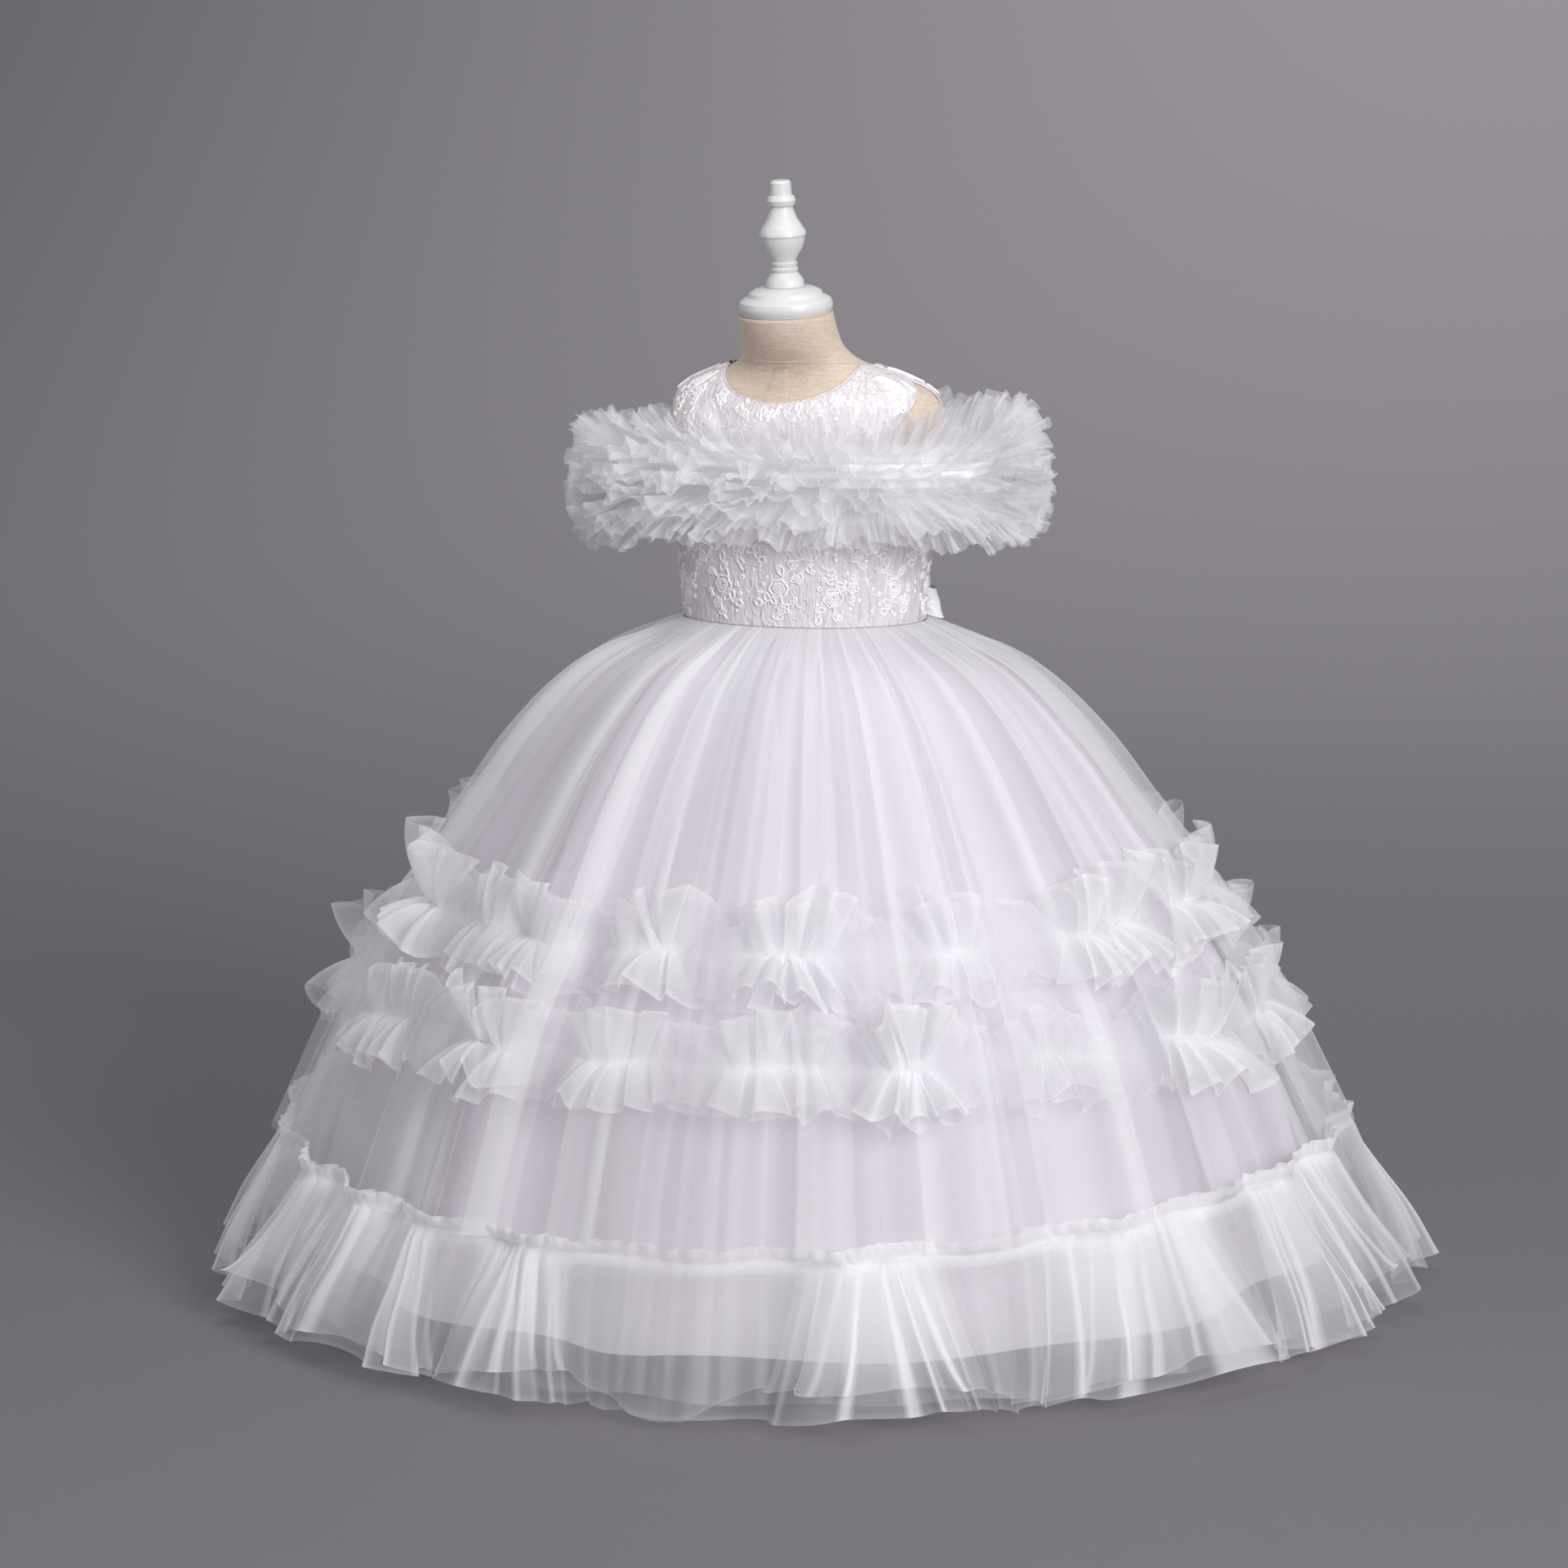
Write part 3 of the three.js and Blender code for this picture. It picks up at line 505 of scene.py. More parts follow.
def settings():
    """The scene's gown settings."""
    return bpy.context.scene.gown


def tulle():
    """The tulle material in the colour that is set."""
    return named("Nylon tulle", tulle_material, tuple(settings().tulle_colour))


def white_satin():
    """The satin of the band, the zip and the bow."""
    return named("White satin", satin_material, "#eae8ea")


def creased(wave, low=0.55):
    """1 along the edges of pleats, where a pleat's two walls lie over each other, and 0 between."""
    return smoothstep(np.abs(wave), low, 1.0)


# Skirt


def skirt_layer(name, table, rows, columns, count, seed, base, doubled=(), large=SKIRT_FOLDS, deep=1.0):
    """One tube of the skirt from waist to edge. Tight gathers leave the waist, wander a little on the
    way down and run together into fewer, wider and softer folds.

    doubled lists (count, cover) of the pleats that lie double: each has a crisp edge on one side and
    fades out on the other."""
    height = settings().pleat_height / MM
    share = (np.linspace(0, 1, rows) ** 1.2)[:, None]
    angle = angles(columns)[None]
    lean = 0.5 * np.sin(2.2 * share + 2 * drift(angle, seed + 3)) / count
    tight = pleats(angle + lean, count, seed)
    broad = drift(angle + 0.3 * lean, seed + 7, 7, 19)
    size = 0.6 + 0.4 * drift(angle, seed + 5, 5, 23)
    turn = smoothstep(share, 0.02, 0.26)
    loose = pleats(angle - lean, 34, seed + 1, 0.25, 4.0)
    off = deep * (0.45 + 0.65 * turn) * (0.13 * loose * size + 1.35 * broad)
    off = height * smoothstep(share, 0.0, 0.12) * (0.28 * (1 - turn) * size * tight + off)
    points = ring_point(angle, along(table, share[:, 0]), off, large)
    near_waist = 0.2 * (1 - smoothstep(share, 0.0, 0.5))
    seam = 0.3 * (1 - smoothstep(share, 0, 0.05))
    cover = base + near_waist + 0.05 * (1 - turn) * creased(tight) + seam
    for folded, weight in doubled:
        overlap = pleats(angle + 0.8 * lean, folded, seed + folded, 0.0, 4.0)
        wide = smoothstep(overlap, 0.0, 0.05) * (1 - 0.8 * smoothstep(overlap, 0.3, 1.0))
        edge = 1 - smoothstep(np.abs(overlap), 0.01, 0.06)
        cover = cover + weight * (wide + 0.8 * edge)
    return grid_object(name, points, wrap=True, cover=cover, flip=True)


class GOWN_OT_skirt(bpy.types.Operator):
    """Builds the outer tulle, the net under it and the satin lining of the skirt."""

    bl_idname = "gown.skirt"
    bl_label = "Skirt"

    def execute(self, context):
        s = settings()
        base = s.tulle_cover
        outer = skirt_layer("skirt_tulle_look", TULLE, 58, 960, s.skirt_pleats, 11, base, ((9, 0.27),))
        dress(outer, tulle(), "tulle", "skirt_tulle_front", "skirt_tulle_back")

        net = skirt_layer("under_net", UNDER_NET, 44, 720, s.skirt_pleats - 22, 23, base, ((7, 0.2),))
        dress(net, tulle(), "tulle")

        lining = skirt_layer("skirt_lining_look", LINING, 50, 480, 60, 31, 1, (), LINING_FOLDS, 1.9)
        satin = named("Lining satin", satin_material, tuple(s.lining_colour), 0.5)
        dress(lining, satin, "lining", "skirt_lining_front", "skirt_lining_back")
        return {"FINISHED"}


def frill(name, row, waves, seed, tufts, layer):
    """A strip gathered along its middle: from the stitch line one flap stands up and one hangs down.

    Round the skirt it is pinched into tufts that fan out like bows, with soft sheer lengths between
    them. The flap's length, slant and wave height follow a tuft curve that is 1 at each pinch."""
    angle = angles(1200)
    here = TULLE[row]
    slope = TULLE[row + 1, [1, 0]] - TULLE[row - 1, [1, 0]]
    down = slope / np.linalg.norm(slope)
    out = np.array([-down[1], down[0]])
    uneven = 1.5 * drift(angle, seed + 1)
    phase = tufts * angle + uneven
    room = here[1] / tufts
    power = np.clip(0.72 + 0.6 * drift(angle, seed + 11, 3, 12), 0.12, 1.15)
    tuft = power * smoothstep(np.cos(phase), -0.55, 0.75)

    w = np.linspace(-1, 1, 17)[:, None]
    size, lower = np.abs(w), w > 0
    length = np.where(lower, 36 + 13 * tuft, 33 + 17 * tuft) - 4 * layer
    length = length * (1 + 0.1 * drift(angle, seed + 2, 30, 90))
    slant = 9 + np.where(lower, 24, 40) * tuft + 12 * drift(angle, seed + 3, 9, 50) + 7 * layer
    tilt = np.radians(slant) - 0.3 * size
    hanging, standing = (pleats(angle, waves - k, seed + k, 0.9, 3.6) for k in (0, 9))
    fans = np.where(lower, hanging, standing)
    across = fans * size**0.9 * (1.6 + 9.5 * tuft)
    run, lift = length * size * np.cos(tilt), length * size * np.sin(tilt)
    move_along = np.where(lower, 1.0, -1.0) * (run - across * np.sin(tilt))
    move_along = move_along + 3.5 * drift(angle, seed + 4, 6, 18)
    move_off = 1.0 + 1.4 * layer + lift + across * np.cos(tilt)
    spread = room * np.sin(phase) * (1.05 * size - 0.45) * power
    spread = spread + 4.0 * size * pleats(angle + 0.3 / waves, waves, seed + 2, 0.6, 3.2)

    shape = here[4] * folds(angle, *SKIRT_FOLDS)
    radial = shape + move_along * down[0] + move_off * out[0]
    z = here[0] + here[5] * front(angle) + move_along * down[1] + move_off * out[1]
    points = around(angle, here[1] + radial, here[2] + radial, here[3], z, spread)
    cut_edge = 0.2 * smoothstep(size, 0.86, 1.0)
    cover = 0.15 + 0.15 * tuft + 0.26 * creased(fans, 0.8) * tuft + cut_edge * (0.4 + 0.6 * tuft)
    cover = cover + (0.1 + 0.5 * tuft) * (1 - size) ** 2.2
    return grid_object(name, points, wrap=True, cover=cover, flip=True)


class GOWN_OT_frills(bpy.types.Operator):
    """Builds the two frills, each of two strips, that are sewn round the skirt by their middle."""

    bl_idname = "gown.frills"
    bl_label = "Skirt frills"

    def execute(self, context):
        waves = settings().frill_waves
        for name, row, more, seed, tufts in (
            ("skirt_frill_upper", 5, 0, 41, 16), ("skirt_frill_lower", 6, 16, 57, 19),
        ):
            for layer in (0, 1):
                part = name + ("_look", "_second_look")[layer]
                obj = frill(part, row, waves + more - 11 * layer, seed + 100 * layer, tufts, layer)
                dress(obj, tulle(), "tulle", *([] if layer else [name]))
        return {"FINISHED"}


def flounce(name, seed, layer):
    """The flounce from its heading over the stitch line to the hem.

    Bunches of tight pleats leave the stitch line and open like fans, and their cones bulge out
    towards the hem; between the bunches the net is flatter and sheer."""
    angle = angles(1320)
    root = ring_point(angle[None], along(TULLE, np.array([0.985, 1.0])))[-1]
    share = np.concatenate([np.linspace(-1, 0, 5)[:-1], np.linspace(0, 1, 19) ** 0.9])[:, None]
    below, head = np.clip(share, 0, 1), np.clip(-share, 0, 1)
    table = np.column_stack([np.linspace(0, 1, len(FLOUNCE)), FLOUNCE])
    _, radius, cy, fold = (through(table, below)[..., i] for i in range(4))

    phase = 13 * angle + 1.8 * drift(angle, 5)
    bunch = smoothstep(np.cos(phase), -0.98, 0.1)
    bunch = bunch * np.clip(0.92 + 0.28 * drift(angle, 6, 3, 10), 0.55, 1.15)
    tight = pleats(angle, 128, seed, 0.6, 3.0)
    cones = pleats(angle, 60, seed + 2, 0.9, 3.8)
    size = 0.7 + 0.35 * drift(angle, seed + 6, 5, 23)
    ripple = 2.4 * smoothstep(share, 0, 0.08) * (1 - below) * tight * (0.4 + 0.6 * bunch)
    ripple = ripple + below**1.05 * size * (2.5 + 12.0 * bunch) * cones
    ripple = ripple + below**1.3 * 12.0 * (bunch - 0.75)
    radius = radius + fold * folds(angle, *FLOUNCE_FOLDS) + ripple - 5.0 * layer * below
    radius = radius + head * (0.8 + 2.2 * pleats(angle, 170, seed + 8, 0.6, 3.0))

    level = root[:, 2] + (HEM_Z - root[:, 2]) * below
    level = level + HEADING * head * (1 + 0.15 * drift(angle, seed + 9, 30, 80))
    hem = 5 + 4 * drift(angle, 81, 4, 19) + 3.5 * cones
    hem = hem + 10.8 * layer * (1 + drift(angle, 83, 5, 25))
    level = level + below**3 * np.maximum(hem, -3)
    spread = 30 * np.sin(phase) * (below - 0.35) * smoothstep(share, -0.5, 0.2)
    spread = spread + 5.0 * below * pleats(angle + 0.4 / 74, 74, seed + 2, 0.4, 3.4)
    stitch = np.exp(-((share / 0.05) ** 2))
    cut_edge = 0.1 * smoothstep(share, 0.96, 1.0)
    cover = 0.14 + 0.4 * stitch + (0.08 + 0.5 * bunch) * creased(cones, 0.8) * below**0.3 + cut_edge
    cover = cover + (1 - below) ** 1.5 * (0.04 + 0.34 * bunch) + 0.12 * bunch + 0.15 * head
    points = around(angle, radius, radius, cy, level, spread)
    return grid_object(name, points, wrap=True, cover=cover, flip=True)


class GOWN_OT_flounce(bpy.types.Operator):
    """Builds the gathered flounce at the hem in two layers, with its small heading."""

    bl_idname = "gown.flounce"
    bl_label = "Hem flounce"

    def execute(self, context):
        for layer, name in enumerate(("hem_flounce_look", "hem_flounce_second_look")):
            obj = flounce(name, 71 + 40 * layer, layer)
            dress(obj, tulle(), "tulle", *([] if layer else ["hem_flounce_front", "hem_flounce_back"]))
        return {"FINISHED"}


# Off-shoulder band


def band_point(angle, height, out, spread=0.0):
    """A point of the band: an ellipse, lower over the wearer's right arm."""
    z = BAND["z"] - BAND["drop"] * np.maximum(0, -np.sin(angle)) ** 2 + height
    return around(angle, BAND["half_width"] + out, BAND["half_depth"] + out, 0, z, spread)


def ruffle(name, root, rise, length, waves, seed):
    """One ruffle of the band: narrow straight pleats that open like ribs of a fan from its stitched
    edge. Over the wearer's right arm the rows lean down, as the loop there hangs lower."""
    angle = angles(1200)
    size = np.linspace(0, 1, 8)[:, None]
    right = np.maximum(0, -np.sin(angle)) ** 2
    bunch = drift(angle, seed + 1, 9, 30)
    lean = (20 if rise > 0 else 9) * right
    wander = 10 * drift(angle, seed + 2, 6, 26) + 9 * drift(angle, seed + 7, 30, 75)
    slope = np.radians(rise - lean + wander) - 0.16 * size * np.sign(rise)
    reach = length * (1 - 0.1 * front(angle) - 0.06 * right) * (1 + 0.1 * bunch)
    reach = reach * (1 + 0.06 * drift(angle, seed + 3, 60, 150))
    fan = pleats(angle, waves, seed + 4, 0.8, 3.6)
    across = fan * size * (2.3 + 0.9 * bunch)
    run = reach * size
    out = 0.8 + run * np.cos(slope) - across * np.sin(slope)
    height = root + run * np.sin(slope) + across * np.cos(slope)
    sideways = 2.6 * pleats(angle + 0.35 / waves, waves, seed + 5, 0.6, 3.6)
    spread = size * (sideways + 6 * drift(angle, seed + 6, 9, 30))
    points = band_point(angle, height, np.maximum(out, 0.6), spread)
    cover = 0.31 + 0.13 * creased(fan, 0.7) + 0.3 * (1 - size) ** 1.5 + 0.06 * bunch
    return grid_object(name, points, wrap=True, cover=cover, flip=rise < 0)


class GOWN_OT_bertha(bpy.types.Operator):
    """Builds the off-shoulder band and its four rows of ruffles, each of two or three layers."""

    bl_idname = "gown.bertha"
    bl_label = "Ruffled band"

    def execute(self, context):
        satin = white_satin()
        height = np.linspace(-BAND["height"] / 2, BAND["height"] / 2, 9)[:, None]
        obj = grid_object("band_look", band_point(angles(240)[None], height, -0.5), wrap=True)
        solids = ("bertha_band_front", "bertha_band_back", "sleeve_band_left", "sleeve_band_right")
        dress(obj, satin, "satin", *solids)
        done = set()
        for i, (row, root, rise, length) in enumerate(RUFFLES):
            node_name = f"bertha_ruffle_{row}"
            name = node_name + ("_look" if row not in done else f"_layer_{i}_look")
            made = ruffle(name, root, rise, length, settings().ruffle_waves + 5 * (i % 3), 100 + 10 * i)
            dress(made, tulle(), "tulle", *([] if row in done else [node_name]))
            done.add(row)
        return {"FINISHED"}


# Bodice


def half_panel(side, is_back, rows=110, columns=64):
    """Half of a bodice panel on the form: from centre front or the zip to the side seam or armhole.

    It stands off the form by the cloth's ease and turns in to it at the neckline and the armhole."""
    lowest, depth = BACK_EDGES if is_back else FRONT_EDGES
    z = np.concatenate([
        np.linspace(WAIST_Z, UNDERARM_Z, 40)[:-1], np.linspace(UNDERARM_Z, lowest, 40)[:-1],
        lowest + (NECK_POINT_Z - lowest) * np.linspace(0, 1, rows - 78) ** 2,
    ])
    inner = neckline(z, lowest)
    if is_back:
        inner = np.maximum(inner, (ZIP_HALF_WIDTH + 0.3) / through(TORSO, z)[:, 1])
    outer = armhole(z, depth)
    t = np.linspace(0, 1, columns)
    angle = inner[:, None] + (outer - inner)[:, None] * t
    angle = np.pi - angle if is_back else angle
    arm = smoothstep(t, 0.9, 1.0) * smoothstep(z, UNDERARM_Z, UNDERARM_Z + 8)[:, None]
    neck = smoothstep(1 - t, 0.9, 1.0) * smoothstep(z, lowest - 4, lowest + 2)[:, None]
    top = bodice_out(z)[:, None]
    return torso(side * angle, z[:, None], top - 0.4 - (top - 1.4) * np.maximum(arm, neck) ** 2)


def edge_path(side, is_back, which):
    """The line of a panel's neckline or armhole, for its turned edge."""
    lowest, depth = BACK_EDGES if is_back else FRONT_EDGES
    if which == "neck":
        z = lowest + (NECK_POINT_Z - lowest) * np.linspace(0, 1, 60) ** 2
        angle = neckline(z, lowest)
    else:
        share = 0.5 - 0.5 * np.cos(np.linspace(0, np.pi, 70))
        z = UNDERARM_Z + (SHOULDER_Z - UNDERARM_Z) * share
        angle = armhole(z, depth)
    angle = np.pi - angle if is_back else angle
    return torso(side * angle, z, 1.0)


class GOWN_OT_bodice(bpy.types.Operator):
    """Builds the bodice's front and two back panels, their turned edges and the closed zip."""

    bl_idname = "gown.bodice"
    bl_label = "Bodice"

    def execute(self, context):
        colour = tuple(settings().bodice_colour)
        cloth = named("Crinkled satin", satin_material, colour, 0.36, 1.0)
        panels = (
            ("bodice_front", False, (1, -1), (0.35, 0.215), 0.056),
            ("bodice_back_left", True, (1,), (0.17, 0.215), 0.0285),
            ("bodice_back_right", True, (-1,), (0.17, 0.215), 0.0285),
        )
        for name, is_back, sides, flat, area in panels:
            grids = [half_panel(side, is_back)[:, ::side] for side in sides]
            rows, cols = grids[0].shape[:2]
            faces = [grid_faces(rows, cols, start=i * rows * cols) for i in range(len(grids))]
            faces = np.concatenate(faces)[:, :: -1 if is_back else 1]
            obj = new_object(name + "_look", np.concatenate([g.reshape(-1, 3) for g in grids]), faces)
            weld(obj)
            dress(obj, cloth, "lace", name)
        for side, back, which in itertools.product((1, -1), (False, True), ("neck", "arm")):
            place = f"{'back' if back else 'front'}_{'left' if side > 0 else 'right'}"
            obj = tube(f"turned_edge_{which}_{place}", edge_path(side, back, which), 0.9)
            dress(obj, cloth, "lace")

        z = np.linspace(WAIST_Z, 755, 60)[:, None]
        reach = ZIP_HALF_WIDTH / through(TORSO, z)[..., 1]
        t = np.linspace(-1, 1, 9)[None]
        ridge = bodice_out(z) - 1.4 + 0.8 * (np.abs(t) > 0.1)
        strip = grid_object("back_zip_look", torso(np.pi - reach * t, z, ridge), flip=True)
        satin = white_satin()
        dress(strip, satin, "satin", "back_zip")
        return {"FINISHED"}


# Embroidery: outlines in mm on the flat lace

STEPS = 24  # points of each outline
SPRAY_ROWS = (586, 628, 670, 712, 748)  # heights of the rows of sprays
SPRAYS_ROUND, SPRAY_SPACING = 12, 52.0
CHEST = (110.5, 87.5)  # half width and half depth of the ring that the lace is measured along


def spiral(x, y, r, turns, start):
    """A rosebud's coil: the radius grows evenly with the angle."""
    t = np.linspace(0, 1, STEPS)
    angle, radius = start + 2 * np.pi * turns * t, r * (0.12 + 0.88 * t)
    return np.stack([x + radius * np.cos(angle), y + radius * np.sin(angle)], -1)


def petals(x, y, r, count, start, depth):
    """A flower's outline: count lobes round a centre."""
    angle = np.linspace(0, 2 * np.pi, STEPS) + start
    radius = r * (1 - depth + depth * np.abs(np.sin(count * (angle - start) / 2)))
    return np.stack([x + radius * np.cos(angle), y + radius * np.sin(angle)], -1)


def leaf(x, y, length, width, turn):
    """A leaf's outline, from its stalk round its tip and back."""
    t = np.linspace(0, 1, STEPS)
    run = length * (1 - np.abs(2 * t - 1))
    half = width * np.sin(np.pi * run / length) ** 0.8 * np.sign(t - 0.5)
    cos, sin = math.cos(turn), math.sin(turn)
    return np.stack([x + run * cos - half * sin, y + run * sin + half * cos], -1)


def stem(x0, y0, x1, y1, bend):
    """A stem: a line between two points with an S-bend across it."""
    t = np.linspace(0, 1, STEPS)
    dx, dy = x1 - x0, y1 - y0
    side = bend * np.sin(2 * np.pi * t)
    scale = math.hypot(dx, dy)
    return np.stack([x0 + dx * t - side * dy / scale, y0 + dy * t + side * dx / scale], -1)


def spray(rng):
    """One spray of the lace: a stem with a rose, a flower, leaves and buds, about 50 mm tall."""
    tip = rng.uniform(-7, 7)
    lines = [stem(-3, -26, tip, 25, rng.uniform(4, 7))]
    lines += [spiral(2, 5, 6.2, 2.6, rng.uniform(0, 6)), petals(2, 5, 8.6, 6, rng.uniform(0, 1), 0.22)]
    lines += [petals(-9, -10, 5.4, 5, rng.uniform(0, 1), 0.5), petals(-9, -10, 1.6, 5, 0, 0.1)]
    lines += [stem(-3, -18, -9, -10, 1.0), stem(0, -4, 13, -13, 2.0), stem(1, 12, -10, 18, 1.6)]
    lines += [petals(14, -14, 3.6, 5, 0.4, 0.45), spiral(-11, 19, 3.2, 1.8, 1)]
    leaves = (-2, -20, 2.7), (-1, -9, 0.5), (6, -10, 0.9), (-5, 15, 2.4), (3, 17, 0.9), (tip, 25, 1.6)
    for x, y, turn in leaves:
        size = rng.uniform(0.85, 1.2)
        lines.append(leaf(x, y, 8.5 * size, 2.3 * size, turn + rng.uniform(-0.3, 0.3)))
    for x, y in ((17, -6), (16, 3), (-15, 2), (-14, -2), (9, 22), (-3, -32)):
        lines.append(petals(x, y, rng.uniform(1.2, 1.9), 4, 0, 0.15))
    return np.array(lines)


def lay_out():
    """The sprays all over the bodice, as lines of (distance round the body, height)."""
    rng = np.random.default_rng(7)
    lines = []
    for row, z in enumerate(SPRAY_ROWS):
        for k in range(SPRAYS_ROUND):
            made = spray(rng)
            turn = rng.uniform(-0.5, 0.5) + (np.pi if (k + row) % 3 == 1 else 0)
            cos, sin = math.cos(turn), math.sin(turn)
            x = made[..., 0] * (1 if k % 2 else -1)
            u = (k + 0.5 * (row % 2) + 0.25) * SPRAY_SPACING + rng.uniform(-4, 4)
            lines.append(np.stack([
                u + x * cos - made[..., 1] * sin,
                z + rng.uniform(-3, 3) + 0.92 * (x * sin + made[..., 1] * cos),
            ], -1))
    return np.concatenate(lines)


def to_angle(u):
    """The angle at a distance round the body at chest height."""
    angle = np.linspace(-np.pi, np.pi, 721)
    ring = np.stack([CHEST[0] * np.sin(angle), CHEST[1] * np.cos(angle)], -1)
    length = np.concatenate([[0], np.cumsum(np.linalg.norm(np.diff(ring, axis=0), axis=1))])
    return np.interp(np.mod(u, length[-1]), length, angle)


def on_panels(u, z, margin=2.0):
    """True where a spot lies on a bodice panel, clear of its edges by a margin in mm."""
    angle = np.abs(to_angle(u))
    is_back = angle > np.pi / 2
    away = np.where(is_back, np.pi - angle, angle)
    lowest, depth = (np.where(is_back, *both) for both in zip(BACK_EDGES, FRONT_EDGES))
    neck = neckline(z, lowest)
    beside_zip = 5 / 104  # 5 mm from centre back, as an angle where the half width is 104 mm
    neck = np.where(is_back, np.maximum(neck, beside_zip), neck)
    share = np.clip((z - UNDERARM_Z) / (SHOULDER_Z - UNDERARM_Z), 0, 1)
    side = np.pi / 2 - np.radians(depth) * np.sin(np.pi * share) ** 0.7
    pad = margin / 75  # the margin, as an angle where the half depth is 75 mm
    inner = np.where(neck > 0.01, neck + pad, 0)
    outer = np.where(z > UNDERARM_Z - 4, side - pad, np.pi)
    return (away >= inner) & (away <= outer) & (z > WAIST_Z + margin) & (z < NECK_POINT_Z - 2)


class GOWN_OT_lace(bpy.types.Operator):
    """Builds the lace's corded embroidery and its small clear sequins."""

    bl_idname = "gown.lace"
    bl_label = "Embroidery"

    def execute(self, context):
        lines = lay_out()
        lines = lines[on_panels(lines[..., 0], lines[..., 1]).all(axis=1)]
        way = np.gradient(lines, axis=1)
        way /= np.linalg.norm(way, axis=-1, keepdims=True) + 1e-9
        side = np.stack([-way[..., 1], way[..., 0]], -1)
        lanes = np.array([-0.95, -0.45, 0.45, 0.95])
        lift = np.array([-0.3, 1.0, 1.0, -0.3])
        flat = lines[:, :, None] + side[:, :, None] * lanes[:, None]
        z = flat[..., 1]
        points = torso(to_angle(flat[..., 0]), z, bodice_out(z) - 0.4 + lift)
        faces = np.concatenate([grid_faces(STEPS, 4, start=i * STEPS * 4) for i in range(len(lines))])
        cords = new_object("lace_cords", points, faces)
        dress(cords, material("Rayon embroidery thread", "#ece9ec", 0.45, Sheen_Weight=0.3)[0], "lace")
        self.add_sequins()
        return {"FINISHED"}

    def add_sequins(self):
        """Flat discs 2.7 mm across, each a little tilted, scattered between the sprays."""
        rng = np.random.default_rng(19)
        radius, sides, most = 1.35, 10, 330
        u = rng.uniform(0, SPRAYS_ROUND * SPRAY_SPACING, 900)
        z = rng.uniform(566, 764, 900)
        keep = on_panels(u, z, 4.0)
        u, z = u[keep][:most, None], z[keep][:most, None]
        turn = np.linspace(0, 2 * np.pi, sides, endpoint=False)[None]
        tilt = rng.uniform(0, 2 * np.pi, (len(u), 1))
        out = bodice_out(z) + 0.25 + 0.22 * np.cos(turn - tilt)
        rim = torso(to_angle(u + radius * np.cos(turn)), z + radius * np.sin(turn), out)
        hub = torso(to_angle(u), z, bodice_out(z) + 0.12)
        points = np.concatenate([hub, rim], 1)
        one = np.array([(0, 1 + i, 1 + (i + 1) % sides) for i in range(sides)])
        faces = (one[None] + (sides + 1) * np.arange(len(u))[:, None, None]).reshape(-1, 3)
        sequins = new_object("sequins", points, faces, smooth=False)
        dress(sequins, material("Clear sequin plastic", "#ffffff", 0.12, Coat_Weight=0.5)[0], "lace")


# Form and stand


class GOWN_OT_form(bpy.types.Operator):
    """Builds the linen form with its seam tape, the turned cap and finial, the pole and the base."""

    bl_idname = "gown.form"
    bl_label = "Dress form"

    def execute(self, context):
        z = np.concatenate([np.linspace(386, 560, 12)[:-1], np.linspace(560, 812, 90)])
        skin = torso(angles(120)[None], z[:, None])
        ends = [np.broadcast_to(skin[row].mean(axis=0), skin[:1].shape) for row in (0, -1)]
        points = np.concatenate([ends[0], skin, ends[1]])
        linen = named("Linen, plain weave", linen_material)
        obj = grid_object("form_torso_look", points, wrap=True)
        weld(obj)
        dress(obj, linen, "linen", "form_torso")

        z = np.linspace(733, 768, 40)[:, None]
        t = np.linspace(-1, 1, 9)[None]
        raised = 0.15 + 0.55 * (1 - t**6)
        tape = grid_object("front_seam_tape", torso(0.1 * t, z, raised))
        dress(tape, linen, "linen")
        ring_z = 771 + 3.0 * np.cos(angles(160))
        seam = tube("neck_seam", torso(angles(160), ring_z, 0.15), 0.55, 6, closed=True)
        dress(seam, linen, "linen")

        wood = named("Painted turned wood", painted_wood_material)
        lean = math.radians(NECK_TILT)
        y, z = NECK_TOP
        above = [(0, y - h * math.sin(lean), z + h * math.cos(lean)) for h in (0.3, 22.6)]
        parts = (
            ("form_neck_cap", CAP, NECK_TILT, above[0]), ("form_finial", FINIAL, NECK_TILT, above[1]),
            ("stand_pole", POLE, 0.0, (0, 0, 0)), ("stand_base", BASE, 0.0, (0, 0, 0)),
        )
        for name, profile, tilt, place in parts:
            dress(turned(name + "_look", profile, tilt, place), wood, "painted_wood", name)
        return {"FINISHED"}


# Bow


def bow_loop(side):
    """A loop of sash: a strip that leaves the knot and turns back at its tip, gathered at the knot."""
    turn = np.linspace(0, 2 * np.pi, 90)[:, None]
    t = np.linspace(-0.5, 0.5, 41)[None]
    share = (1 - np.cos(turn)) / 2
    x = 11 + LOOP["reach"] * share - 7 * t * share
    pleat = 1.6 * np.cos(6 * np.pi * t) * (1 - share) ** 0.7 + 0.8 * np.sin(3 * np.pi * t + 1) * share
    y = KNOT["y"] + 1 + 4 * np.cos(turn / 2) + LOOP["bulge"] * np.sin(turn) * share + pleat
    height = LOOP["root"] + (LOOP["tip"] - LOOP["root"]) * np.sqrt(share)
    z = KNOT["z"] - LOOP["droop"] * share**2 + t * height
    return np.stack([side * x, y, z], -1)


